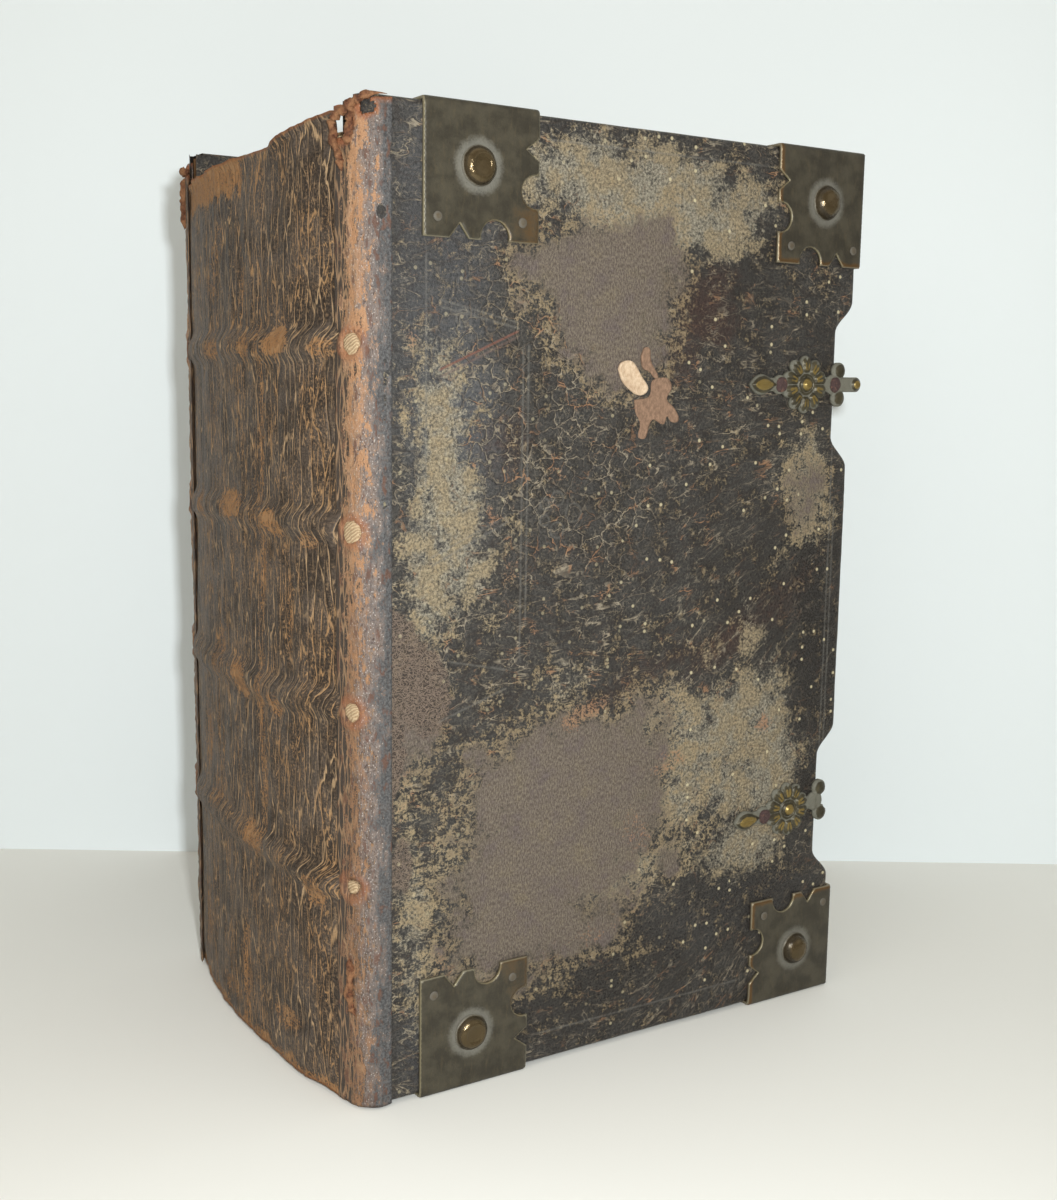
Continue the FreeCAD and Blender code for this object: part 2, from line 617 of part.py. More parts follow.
def clasp_anchor(catch, height, drilled):
    """A plain plate on the back cover, where the clasp was fixed. It is drawn in front, then mirrored."""
    low_x, low_z = "Size.fore_x - Size.anchor_reach", f"{height} - Size.anchor_half"
    plate = box(f"anchor_blank_{catch}", low_x, "Size.plate_out", low_z, "Size.anchor_long",
                "Size.plate_thick", "2 * Size.anchor_half")
    return cut(f"anchor_{catch}", plate, drilled)


def to_back(source, node):
    """The same piece on the other side of the plane y = 0."""
    copy = doc.addObject("Part::Mirroring", node)
    copy.Source = source
    copy.Normal = FreeCAD.Vector(0, 1, 0)
    return keep(copy, node)


def covers():
    slab, _ = cover_slab("board_slab", "0", "Size.board_in", "Size.board_out")
    envelope = leather_envelope()
    places = {place[0]: place for place in fastener_places()}
    drilled = holes("front_holes", places.values())
    shared = [place for name, place in places.items() if not name.startswith("rivet")]
    back_drilled = holes("back_holes", shared + back_nail_places())
    board, leather = boards_and_leather("front", drilled, slab, envelope)
    back_board, back_leather = boards_and_leather("rear", back_drilled, slab, envelope)
    keep(board, "front_board")
    keep(leather, "front_leather")
    to_back(back_board, "back_board")
    to_back(back_leather, "back_leather")
    slips = keep(lacing("front_cord_slips", "Size.slip_start", "Size.cord_round"), "front_cord_slips")
    to_back(slips, "back_cord_slips")
    paper = keep(pastedown(), "front_pastedown")
    to_back(paper, "back_pastedown")
    for corner in CORNERS:
        plate = keep(corner_plate(corner, drilled), f"front_plate_{corner}")
        to_back(plate, f"back_plate_{corner}")
        stud = keep(boss(corner, places[f"boss_{corner}"]), f"front_boss_{corner}")
        to_back(stud, f"back_boss_{corner}")
    nails = [headed_pin(place, "Size.plate_out", "Size.nail_head", "Size.nail_head_tall")
             for name, place in places.items() if name.startswith(("nail", "pin"))]
    corner_nails = keep(group("front_corner_nails", nails), "front_corner_nails")
    to_back(corner_nails, "back_corner_nails")
    for catch, height in CATCH_HEIGHTS.items():
        keep(catch_plate(catch, height, drilled, catch == "upper"), f"front_catch_{catch}")
        to_back(clasp_anchor(catch, height, back_drilled), f"back_clasp_plate_{catch}")
    catch_face = "Size.leather_out + Size.catch_thick"
    rivets = [headed_pin(place, catch_face, "Size.rivet_head", "Size.rivet_head_tall")
              for name, place in places.items() if name.startswith("rivet")]
    keep(group("front_catch_rivets", rivets), "front_catch_rivets")
    anchor_nails = [headed_pin(place, "Size.plate_out", "Size.nail_head", "Size.nail_head_tall")
                    for place in back_nail_places()]
    to_back(group("anchor_nails", anchor_nails), "back_clasp_nails")


def check_and_write():
    doc.recompute()
    for thing in doc.Objects:
        if "Invalid" in thing.State or "Error" in thing.State:
            raise RuntimeError(f"{thing.Name} failed: {thing.State}")
    os.makedirs("parts", exist_ok=True)
    for node in nodes:
        if node.Shape.isNull() or not node.Shape.isValid() or not node.Shape.Solids:
            raise RuntimeError(f"{node.Label} is not a valid solid")
        node.Shape.exportStep(f"parts/{node.Label}.step")
        print(node.Label, len(node.Shape.Solids), round(node.Shape.Volume, 1))


fill_sheet()
text_block()
for number in BANDS:
    cord(number)
spine_leather()
endband("head_band", "Size.block_high")
endband("tail_band", "Size.block_tail_square - 2 * Size.endband_round")
covers()
check_and_write()
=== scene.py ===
"""Antique leather book, standing on its tail edge: the looks of every piece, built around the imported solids.
Lengths are in millimetres until a mesh is made. +Z is up, the front cover faces -Y, the spine faces -X."""
import math

import bpy
import numpy as np
from mathutils import Matrix, Vector
from mathutils.geometry import delaunay_2d_cdt


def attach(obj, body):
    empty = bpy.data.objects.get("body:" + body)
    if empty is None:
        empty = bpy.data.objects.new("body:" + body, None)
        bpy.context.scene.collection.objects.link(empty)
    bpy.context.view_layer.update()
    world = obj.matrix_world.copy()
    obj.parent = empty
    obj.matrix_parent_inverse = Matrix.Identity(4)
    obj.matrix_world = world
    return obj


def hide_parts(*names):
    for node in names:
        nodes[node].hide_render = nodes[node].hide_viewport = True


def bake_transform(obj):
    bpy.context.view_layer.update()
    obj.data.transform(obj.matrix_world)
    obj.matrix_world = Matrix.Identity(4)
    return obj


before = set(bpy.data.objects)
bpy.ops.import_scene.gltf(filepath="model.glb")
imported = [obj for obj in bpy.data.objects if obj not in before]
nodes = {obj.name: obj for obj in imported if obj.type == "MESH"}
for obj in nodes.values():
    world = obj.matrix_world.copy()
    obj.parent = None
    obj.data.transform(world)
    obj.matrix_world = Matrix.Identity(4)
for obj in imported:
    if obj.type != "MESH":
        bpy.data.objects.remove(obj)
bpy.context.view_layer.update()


# The camera stands close to the book, a little above its middle and to the left of its front cover.
# A flash beside the lens lights it, and the warm light of the room fills in softly from all sides.
CAMERA_PLACE = (-180.75, -296.4, 146.7)
CAMERA_YAW, CAMERA_PITCH, CAMERA_ROLL = 0.567, -0.1486, 0.0148
LENS = 43.26
MM = 0.001


def linear(*shades):
    """A colour as it looks on a screen, each part 0 to 255, as the linear colour that the shaders take."""
    parts = [shade / 255 for shade in shades]
    return tuple(p / 12.92 if p < 0.04045 else ((p + 0.055) / 1.055) ** 2.4 for p in parts) + (1.0,)


yaw_sin, yaw_cos = math.sin(CAMERA_YAW), math.cos(CAMERA_YAW)
ahead = Vector((yaw_sin * math.cos(CAMERA_PITCH), yaw_cos * math.cos(CAMERA_PITCH), math.sin(CAMERA_PITCH)))
level = Vector((yaw_cos, -yaw_sin, 0))
upright = level.cross(ahead)
camera_right = level * math.cos(CAMERA_ROLL) + upright * math.sin(CAMERA_ROLL)
camera_up = upright * math.cos(CAMERA_ROLL) - level * math.sin(CAMERA_ROLL)
eye = bpy.data.objects.new("camera", bpy.data.cameras.new("camera"))
eye.matrix_world = Matrix.Translation(Vector(CAMERA_PLACE) * MM) @ Matrix(
    (camera_right, camera_up, -ahead)).transposed().to_4x4()
eye.data.lens, eye.data.sensor_width, eye.data.clip_start = LENS, 36.0, 0.01
bpy.context.scene.collection.objects.link(eye)
bpy.context.scene.camera = eye
bpy.context.scene.view_settings.view_transform = "Standard"


def soft_lamp(name, place, aim, side, watts, colour):
    """A square lamp that points from place to aim."""
    lamp = bpy.data.objects.new(name, bpy.data.lights.new(name, "AREA"))
    lamp.data.size, lamp.data.energy, lamp.data.color = side * MM, watts, colour[:3]
    lamp.location = Vector(place) * MM
    lamp.rotation_euler = (Vector(aim) - Vector(place)).to_track_quat("-Z", "Y").to_euler()
    bpy.context.scene.collection.objects.link(lamp)


BOOK_MIDDLE = (0.0, 0.0, 100.0)
FLASH = Vector(CAMERA_PLACE) + camera_right * 20 + camera_up * 22
soft_lamp("flash", FLASH, BOOK_MIDDLE, 13, 1.05, (0.97, 1.0, 1.0))
soft_lamp("lamp_left", (-700, -350, 500), BOOK_MIDDLE, 600, 0.9, (1.0, 0.95, 0.88))
soft_lamp("lamp_right", (500, -800, 600), BOOK_MIDDLE, 700, 0.7, (0.9, 0.97, 1.0))
soft_lamp("lamp_above", (0, 0, 1000), BOOK_MIDDLE, 800, 1.35, (1.0, 0.96, 0.9))


class Shade:
    """A value on its way through a finish. Arithmetic on it adds Math nodes, and node() adds any other."""

    def __init__(self, tree, socket=None, sheet=False):
        self.tree, self.socket, self.sheet = tree, socket, sheet

    def node(self, kind, settings=None, sockets=None, out=0):
        """Adds a node: its settings first, then the values or links of its sockets. stops colours a ramp."""
        made = self.tree.nodes.new("ShaderNode" + kind)
        for name, value in (settings or {}).items():
            if name == "stops":
                points = made.color_ramp.elements
                for number, (place, colour) in enumerate(value):
                    point = points[number] if number < 2 else points.new(place)
                    point.position, point.color = place, colour
            else:
                setattr(made, name, value)
        for name, value in (sockets or {}).items():
            if isinstance(value, Shade):
                self.tree.links.new(value.socket, made.inputs[name])
            else:
                made.inputs[name].default_value = value
        return Shade(self.tree, made.outputs[out] if made.outputs else None, self.sheet)

    def math(self, operation, *values, clamp=False):
        settings = {"operation": operation, "use_clamp": clamp}
        return self.node("Math", settings, dict(enumerate(values)))

    def __add__(self, other):
        return self.math("ADD", self, other)

    def __sub__(self, other):
        return self.math("SUBTRACT", self, other)

    def __rsub__(self, other):
        return self.math("SUBTRACT", other, self)

    def __mul__(self, other):
        return self.math("MULTIPLY", self, other)

    def __truediv__(self, other):
        return self.math("DIVIDE", self, other)

    __radd__, __rmul__ = __add__, __mul__

    def ease(self, low, high):
        """0 below low, 1 above high, smooth between. With low above high it falls instead of rising."""
        settings = {"interpolation_type": "SMOOTHSTEP"}
        if low < high:
            return self.node("MapRange", settings, {0: self, 1: low, 2: high, 3: 0.0, 4: 1.0})
        return self.node("MapRange", settings, {0: self, 1: high, 2: low, 3: 1.0, 4: 0.0})

    def near(self, place, half):
        """1 where the value is at place, falling to 0 at half away."""
        return self.math("ABSOLUTE", self - place).ease(half, 0.0)

    def clear(self):
        return self.math("MULTIPLY", self, 1.0, clamp=True)

    def tint(self, under, over):
        """This share of the colour over on top of the colour under."""
        return self.node("Mix", {"data_type": "RGBA"}, {0: self, 6: under, 7: over}, 2)

    def stretch(self, across, deep, tall):
        """A place, with each of its directions scaled."""
        return self.node("VectorMath", {"operation": "MULTIPLY"}, {0: self, 1: (across, deep, tall)})

    def shift(self, other):
        return self.node("VectorMath", {"operation": "ADD"}, {0: self, 1: other})

    def parts(self):
        split = self.tree.nodes.new("ShaderNodeSeparateXYZ")
        self.tree.links.new(self.socket, split.inputs[0])
        return [Shade(self.tree, socket) for socket in split.outputs]

    def unfold(self, across, up):
        """The same places on one flat sheet, on which patterns have only two directions."""
        unfolded = self.node("CombineXYZ", {}, {0: across, 1: up})
        unfolded.sheet = True
        return unfolded

    def noise_kind(self):
        return {"noise_dimensions": "2D" if self.sheet else "3D"}

    def cells_kind(self):
        return {"voronoi_dimensions": "2D" if self.sheet else "3D"}

    def cloud(self, scale, detail=3.0, rough=0.55, warp=0.0):
        """Soft random patches, about 0 to 1, each about 1/scale long."""
        sockets = {"Vector": self, "Scale": scale, "Detail": detail, "Roughness": rough, "Distortion": warp}
        return self.node("TexNoise", self.noise_kind(), sockets, 0)

    def scatter(self, scale, detail=1.0):
        """A random colour at each place, used to move the places of another pattern."""
        return self.node("TexNoise", self.noise_kind(), {"Vector": self, "Scale": scale, "Detail": detail},
                         1)

    def wander(self, scale, reach):
        """The same places, moved about at random by up to half of reach."""
        offset = self.node("VectorMath", {"operation": "SUBTRACT"},
                           {0: self.scatter(scale), 1: (0.5, 0.5, 0.5)})
        return self.shift(offset.node("VectorMath", {"operation": "SCALE"}, {0: offset, 3: reach}))

    def rifts(self, scale, random=1.0):
        """Distance to the nearest border of a network of cells."""
        settings = {"feature": "DISTANCE_TO_EDGE", **self.cells_kind()}
        return self.node("TexVoronoi", settings, {"Vector": self, "Scale": scale, "Randomness": random})

    def spots(self, scale, random=1.0):
        """Distance to the nearest of scattered points."""
        return self.node("TexVoronoi", self.cells_kind(),
                         {"Vector": self, "Scale": scale, "Randomness": random})

    def relief(self, depth, under=None):
        """A bump of that depth in metres, on top of another."""
        sockets = {"Height": self, "Distance": depth, "Strength": 1.0}
        if under:
            sockets["Normal"] = under
        return self.node("Bump", {}, sockets)


def new_finish(name):
    """An empty finish, its places in millimetres, and the shader that close_finish() needs."""
    finish = bpy.data.materials.new(name)
    finish.use_nodes = True
    finish.node_tree.nodes.clear()
    start = Shade(finish.node_tree)
    return finish, start, start.node("TexCoord", out=3).stretch(1000, 1000, 1000)


def close_finish(start, links, values=None):
    """Ends a finish in one plain shader: links vary over the surface, values are the same all over."""
    shader = start.node("BsdfPrincipled", {}, {**(values or {}), **links})
    start.node("OutputMaterial", {}, {0: shader})


def field(start, name, part=None):
    """What a mesh holds at each of its points under that name."""
    held = start.node("Attribute", {"attribute_name": name}, out=2 if part is None else 0)
    return held if part is None else held.parts()[part]


# The table and the wall are pale and plain. The wall stands just behind the book, square to the camera.
WALL_BEHIND = 436.0
ROOM_WIDE = 4000.0


def stage_sheet(name, corners, colour, seen):
    """A plain sheet. Its emission colour is seen, at strength 0, so it does not glow."""
    sheet = bpy.data.meshes.new(name)
    sheet.from_pydata([Vector(corner) * MM for corner in corners], [], [(0, 1, 2, 3)])
    thing = bpy.data.objects.new(name, sheet)
    bpy.context.scene.collection.objects.link(thing)
    finish, start, _ = new_finish(name)
    close_finish(start, {}, {"Base Color": colour, "Roughness": 0.8, "Specular IOR Level": 0.1,
                             "Emission Color": seen, "Emission Strength": 0.0})
    sheet.materials.append(finish)
    return finish


wall_foot = Vector(CAMERA_PLACE) + Vector((yaw_sin, yaw_cos, 0)) * WALL_BEHIND
wall_foot.z = 0
along_wall, up_wall = level * ROOM_WIDE / 2, Vector((0, 0, ROOM_WIDE / 2))
stage_sheet("wall", (wall_foot - along_wall, wall_foot + along_wall, wall_foot + along_wall + up_wall,
                     wall_foot - along_wall + up_wall), linear(234, 242, 246), linear(226, 231, 231))
half_room = ROOM_WIDE / 2
stage_sheet("table", ((-half_room, -half_room, 0), (half_room, -half_room, 0), (half_room, half_room, 0),
                      (-half_room, half_room, 0)), linear(232, 232, 228), linear(232, 232, 228))
surroundings = bpy.data.worlds.new("surroundings")
bpy.context.scene.world = surroundings
surroundings.use_nodes = True
surroundings.node_tree.nodes["Background"].inputs["Color"].default_value = (1.0, 0.9, 0.74, 1.0)
surroundings.node_tree.nodes["Background"].inputs["Strength"].default_value = 0.4


# Cover leather: one skin of dark calf pasted over each wooden board, folded over its head, tail and
# fore-edge and turned in inside. It has cracked all over, is bleached and scuffed to the suede in
# patches, and carries ruled lines. The head corner plates, bosses and catches are nailed on through it.
HINGE_X, HINGE_Y = -60.95, 44.2
FACE_Y, TURNIN_Y = 48.6, 40.1
SKIN_LOW, SKIN_HIGH, SKIN_FORE = 0.8, 199.2, 65.65
SPINE_EDGE_X, SPINE_EDGE_ROUND = -60.45, 4.5
EDGE_ROUND, INNER_ROUND, TURNIN_WIDE = 1.2, 0.5, 13.0
RECESS_MIDDLES, RECESS_HALF, RECESS_SLOPE, RECESS_DEEP = (147.5, 47.5), 18.0, 7.0, 5.0
SKIN_STEP = 0.8


def lumps(across, up, size, seed):
    """Smooth random hills, -1 to 1, about size apart, at the places (across, up)."""
    heights = np.random.default_rng(seed).uniform(-1, 1, (256, 256))
    a, b = np.asarray(across) / size, np.asarray(up) / size
    a0, b0 = np.floor(a).astype(int), np.floor(b).astype(int)
    fa, fb = a - a0, b - b0
    fa, fb = fa * fa * (3 - 2 * fa), fb * fb * (3 - 2 * fb)
    low = heights[a0 % 256, b0 % 256] * (1 - fa) + heights[(a0 + 1) % 256, b0 % 256] * fa
    high = heights[a0 % 256, (b0 + 1) % 256] * (1 - fa) + heights[(a0 + 1) % 256, (b0 + 1) % 256] * fa
    return low * (1 - fb) + high * fb


def rough(across, up, size, seed, layers=4):
    """Hills of several sizes on top of each other, about -1 to 1."""
    return sum(lumps(across, up, size / 2 ** n, seed + n) / 2 ** n for n in range(layers)) / 1.6


def rise(values, low, high):
    """0 below low, 1 above high, smooth between."""
    share = np.clip((np.asarray(values, float) - low) / (high - low), 0, 1)
    return share * share * (3 - 2 * share)


def patches(places, across, up, seed, soft=0.45, ragged=0.5):
    """How deep each point lies inside ragged oval patches: x, z, half width, half height, lean, strength."""
    deepest = np.zeros(np.shape(across))
    wave_a = rough(across, up, 9, seed) * ragged
    wave_b = rough(across, up, 9, seed + 31) * ragged
    for x, z, wide, tall, lean, strength in places:
        turn = math.radians(lean)
        a = ((across - x) * math.cos(turn) + (up - z) * math.sin(turn)) / wide
        b = ((up - z) * math.cos(turn) - (across - x) * math.sin(turn)) / tall
        reach = np.hypot(a + wave_a, b + wave_b)
        deepest = np.maximum(deepest, strength * rise(1 + soft - reach, 0, 2 * soft))
    return deepest


def mesh_piece(name, points, faces, finish, fields=None, smooth=True):
    """A mesh from points in millimetres, with values held at its points for the finish to read."""
    mesh = bpy.data.meshes.new(name)
    points = np.asarray(points, float).reshape(-1, 3)
    faces = np.asarray(faces, np.int32)
    mesh.vertices.add(len(points))
    mesh.vertices.foreach_set("co", (points * MM).astype(np.float32).ravel())
    mesh.loops.add(faces.size)
    mesh.loops.foreach_set("vertex_index", faces.ravel())
    mesh.polygons.add(len(faces))
    mesh.polygons.foreach_set("loop_start", np.arange(0, faces.size, faces.shape[1], dtype=np.int32))
    mesh.polygons.foreach_set("use_smooth", np.full(len(faces), smooth))
    for field_name, values in (fields or {}).items():
        values = np.asarray(values, np.float32)
        wide = values.shape[-1] == 3 and values.size == 3 * len(points)
        kept = mesh.attributes.new(field_name, "FLOAT_VECTOR" if wide else "FLOAT", "POINT")
        kept.data.foreach_set("vector" if wide else "value", values.ravel())
    mesh.update()
    mesh.validate()
    mesh.materials.append(finish)
    piece = bpy.data.objects.new(name, mesh)
    bpy.context.scene.collection.objects.link(piece)
    return piece


def grid_faces(rows, columns, kept=None):
    """The quads of a grid of points, and how they are numbered. kept says which quads are there."""
    number = np.arange(rows * columns).reshape(rows, columns)
    quads = np.stack([number[:-1, :-1], number[:-1, 1:], number[1:, 1:], number[1:, :-1]], -1)
    return quads[kept] if kept is not None else quads.reshape(-1, 4)


def fold_profile(distance):
    """Leather folded over a board's edge. distance runs along it from the start of the bend. Gives how far
    it has gone out, how far down, and which way it faces."""
    bend, wall = EDGE_ROUND * math.pi / 2, FACE_Y - TURNIN_Y - EDGE_ROUND - INNER_ROUND
    inner = INNER_ROUND * math.pi / 2
    first = np.clip(distance / EDGE_ROUND, 0, math.pi / 2)
    down = np.clip(distance - bend, 0, wall)
    second = np.clip((distance - bend - wall) / INNER_ROUND, 0, math.pi / 2)
    back = np.maximum(distance - bend - wall - inner, 0)
    out = EDGE_ROUND * np.sin(first) - INNER_ROUND * (1 - np.cos(second)) - back + np.minimum(distance, 0)
    depth = EDGE_ROUND * (1 - np.cos(first)) + down + INNER_ROUND * np.sin(second)
    return out, depth, first + second


FOLD_LONG = (EDGE_ROUND + INNER_ROUND) * math.pi / 2 + FACE_Y - TURNIN_Y - EDGE_ROUND - INNER_ROUND + 12.4
bend_steps = np.concatenate([np.linspace(0, EDGE_ROUND * math.pi / 2, 6),
                             np.linspace(EDGE_ROUND * math.pi / 2 + 0.7, FOLD_LONG, 26)])


def recess_depth(up):
    """How far the fore-edge lies back at each height, in the two recesses."""
    depth = np.zeros(np.shape(up))
    for middle in RECESS_MIDDLES:
        away = np.abs(np.asarray(up) - middle)
        depth += RECESS_DEEP * rise(-away, -RECESS_HALF - 1, -RECESS_HALF - 1 + RECESS_SLOPE)
    return depth


def cover_grid():
    """Places over a whole cover skin: x, z, depth below the face, and the way it faces, without relief."""
    edge_turn = np.linspace(math.radians(5), math.pi / 2, 12)
    flat_x = SPINE_EDGE_X + SPINE_EDGE_ROUND
    face_x = np.linspace(flat_x, SKIN_FORE - EDGE_ROUND, int((SKIN_FORE - flat_x) / SKIN_STEP))[1:-1]
    face_z = np.linspace(SKIN_LOW + EDGE_ROUND, SKIN_HIGH - EDGE_ROUND, int(SKIN_HIGH / SKIN_STEP))[1:-1]
    out, down, lean = fold_profile(bend_steps)
    x = np.concatenate([flat_x - SPINE_EDGE_ROUND * np.cos(edge_turn), face_x,
                        SKIN_FORE - EDGE_ROUND + out])
    x_down = np.concatenate([SPINE_EDGE_ROUND * (1 - np.sin(edge_turn)), 0 * face_x, down])
    x_lean = np.concatenate([edge_turn - math.pi / 2, 0 * face_x, lean])
    z = np.concatenate([(SKIN_LOW + EDGE_ROUND - out)[::-1], face_z, SKIN_HIGH - EDGE_ROUND + out])
    z_down = np.concatenate([down[::-1], 0 * face_z, down])
    z_lean = np.concatenate([-lean[::-1], 0 * face_z, lean])
    x_lean, z_lean = np.meshgrid(x_lean, z_lean)
    x_down, z_down = np.meshgrid(x_down, z_down)
    x, z = np.meshgrid(x, z)
    inner_x = SKIN_FORE - TURNIN_WIDE
    set_back = recess_depth(z) * np.where(x_down > FACE_Y - TURNIN_Y - 0.01,
                                          np.clip((x - inner_x) / TURNIN_WIDE, 0, 1),
                                          rise(x, 40, SKIN_FORE - 1))
    return x - set_back, z, np.maximum(x_down, z_down), x_lean, z_lean, x_down, z_down


# Worn patches of the front cover, each an oval: x, z, half width, half height, lean, strength. Bleached
# leather is khaki and crackled, scuffed leather shows its brown suede, and raw leather is orange tan. The last
# list is not wear but painted sheen: bluish grey patches in place of the flash's reflection.
BLEACHED = [
    (2, 187, 34, 10, -5, 1.0), (8, 181, 24, 9, -8, 1.0), (22, 181, 12, 6, -10, 0.7),
    (-42, 127, 10, 30, 8, 0.85), (-47, 106, 7, 14, 0, 0.8),
    (-34, 118, 12, 8, 20, 0.5), (53, 124, 9, 15, 10, 0.75), (12, 77, 16, 6, 28, 0.7),
    (28, 66, 22, 20, 30, 0.9),
    (46, 60, 10, 20, 8, 0.95), (38, 42, 16, 9, 15, 0.85), (2, 40, 22, 7, 12, 0.8), (-50, 40, 6, 22, 4, 0.7),
    (-43, 52, 9, 12, 0, 0.55), (38, 92, 5, 7, 0, 0.6), (-40, 20, 14, 9, 10, 0.75),
    (-14, 84, 12, 5, 10, 0.6),
]
SCUFFED = [
    (-5, 163, 19, 13, -35, 1.0), (4, 170, 11, 12, -10, 0.9), (-12, 52, 27, 24, 10, 1.0),
    (-24, 35, 22, 17, 15, 1.0),
    (0, 66, 16, 12, 25, 0.9), (53, 122, 7, 9, 0, 0.6), (-49, 84, 6, 14, 0, 0.7), (16, 40, 4, 5, 0, 0.8),
]
RAW = [
    (-8, 77, 8, 3, 25, 0.8), (-22, 97, 3, 4, 40, 0.6), (-27, 108, 2.5, 6, -30, 0.6),
    (-18, 103, 3, 4, 20, 0.5),
    (14, 62, 5, 4, 0, 0.7), (43, 70, 2.5, 2.5, 0, 0.9), (-44, 25, 3, 8, 0, 0.6), (-5, 28, 12, 3, 8, 0.6),
    (-52, 60, 2.5, 14, 0, 0.5), (-50, 154, 2, 3, 0, 0.7), (6, 49, 4, 6, 0, 0.6), (25, 119, 3, 2, 0, 0.5),
    (-32, 120, 2, 3, 0, 0.7), (-16, 128, 2, 2, 0, 0.7), (8, 30, 14, 2, 10, 0.5),
]
REDDENED = [
    (22, 162, 12, 10, 0, 0.9), (14, 153, 9, 8, 0, 0.7), (32, 90, 16, 6, 30, 0.8), (-30, 135, 9, 8, 0, 0.6),
    (6, 84, 22, 5, 22, 0.6), (46, 98, 12, 8, 35, 0.6), (-6, 112, 14, 6, 0, 0.4),
]
POLISHED = [
    (58, 90, 9, 42, 6, 1.0), (42, 100, 16, 22, 30, 0.7), (40, 30, 26, 14, -8, 0.9), (0, 18, 40, 11, 8, 0.8),
    (58, 150, 7, 12, 0, 0.6), (30, 168, 16, 12, 0, 0.6), (-46, 165, 9, 22, 0, 0.5), (57, 50, 6, 12, 0, 0.9),
]
CELLED = [
    (-26, 140, 22, 32, 0, 1.0), (-8, 122, 20, 20, 0, 0.9), (-5, 184, 30, 10, 0, 0.7),
    (40, 55, 24, 22, 20, 0.9),
    (-44, 120, 10, 40, 0, 0.8), (30, 70, 16, 14, 20, 0.6),
]
WEBBED = [(-56, 97, 3.5, 6, 0, 1.0), (-55, 77, 4, 10, 0, 1.0), (-57, 62, 3, 9, 0, 0.9),
          (-50, 88, 7, 14, 20, 0.7),
          (-52, 52, 3, 8, 0, 0.6)]
# Painted sheen: bluish grey patches that stand in for the flash's reflection on the glossy leather, largest at
# the upper left.
PAINTED_SHEEN_PATCHES = [(-44, 160, 9, 34, 0, 1.0), (-38, 140, 8, 16, 0, 0.7), (-47, 14, 5, 12, 0, 0.6),
         (35, 27, 22, 8, 0, 0.4)]


def crack_run(x, z):
    """Where each point lies along and across the cracks. They run level in the middle of the cover, rise
    to the right below and stand in round cells on the left."""
    slope = 0.75 * rise(x, -8, 40) * (1 - rise(z, 105, 150))
    lifted = np.cumsum(slope * np.gradient(x, axis=1), axis=1)
    return x * 0.42 + 2.2 * rough(x, z, 30, 5), z - lifted + 2.0 * rough(x, z, 26, 9)


def cover_skin(name, side, finish, worn):
    """The skin of one cover: -1 in front, 1 behind. worn says how strong its marks of use, and its patches of
    painted sheen, are.
    """
    x, z, down, x_lean, z_lean, x_down, z_down = cover_grid()
    on_face = (1 - rise(np.abs(x_lean), 0.3, 1.2)) * (1 - rise(np.abs(z_lean), 0.3, 1.2))
    seed = 11 if side < 0 else 711
    spread = worn * on_face
    face_z, z = z, z if side < 0 else SKIN_HIGH + SKIN_LOW - z
    bleached = patches(BLEACHED, x, z, seed + 1, soft=0.8) * spread
    scuffed = patches(SCUFFED, x, z, seed + 2, soft=0.6) * spread
    raw = patches(RAW, x, z, seed + 3, soft=0.8, ragged=0.9) * spread
    reddened = patches(REDDENED, x, z, seed + 4, soft=0.8) * spread
    polished = patches(POLISHED, x, z, seed + 5, soft=0.7) * worn
    celled = patches(CELLED, x, z, seed + 6)
    painted_sheen = patches(PAINTED_SHEEN_PATCHES, x, z, seed + 7, soft=0.8) * spread
    webbed = patches(WEBBED, x, z, seed + 12) * spread
    z = face_z
    along, across = crack_run(x, z)
    swell = 0.22 * rough(x, z, 34, seed + 8) + 0.07 * rough(x, z, 7, seed + 9)
    swell += (0.05 * lumps(along * 2.4, across, 3.2, seed + 10) * (1 - polished)
              - 0.16 * scuffed + 0.05 * bleached)
    edge = np.maximum(rise(x_down, 0, 1), rise(z_down, 0, 1))
    lift = (swell * (1 - 0.6 * edge) - 0.05)
    gone = (x_down > FACE_Y - TURNIN_Y - 0.2) | (z_down > FACE_Y - TURNIN_Y - 0.2)
    lift = np.where(gone, 0.02, lift)
    out_x = np.sin(x_lean) * np.cos(z_lean)
    out_z = np.sin(z_lean)
    out_y = np.cos(x_lean) * np.cos(z_lean)
    if_turned = np.where(gone, -1.0, 1.0)
    y = FACE_Y - down + lift * np.where(gone, -1, np.clip(out_y, 0, 1))
    px, pz = x + lift * out_x * (if_turned > 0), z + lift * out_z * (if_turned > 0)
    in_wall_x, in_wall_z = x_down[:-1, :-1] > EDGE_ROUND, z_down[:-1, :-1] > EDGE_ROUND
    turned_x = x_down[:-1, :-1] > FACE_Y - TURNIN_Y - 0.2
    turned_z = z_down[:-1, :-1] > FACE_Y - TURNIN_Y - 0.2
    inset_x, inset_z = SKIN_FORE - x[:-1, :-1], np.minimum(SKIN_HIGH - z[:-1, :-1], z[:-1, :-1] - SKIN_LOW)
    past_x = in_wall_x & in_wall_z & ~(turned_x & turned_z)
    kept = ~(past_x & ~(turned_x & ~turned_z) & ~(turned_z & ~turned_x))
    kept &= ~(turned_x & turned_z)
    kept &= ~(turned_x & ~turned_z & (inset_z < inset_x)) & ~(turned_z & ~turned_x & (inset_x < inset_z))
    points = np.stack([px, side * y, pz], -1)
    faces = grid_faces(*x.shape, kept)
    if side > 0:
        faces = faces[:, ::-1]
    fields = {"bleached": bleached, "scuffed": scuffed, "raw": raw, "reddened": reddened,
              "polished": polished, "celled": celled, "painted_sheen": painted_sheen, "webbed": webbed,
              "crack_run": np.stack([along.ravel(), across.ravel(), 0 * along.ravel()], -1)}
    return mesh_piece(name, points, faces, finish, fields)


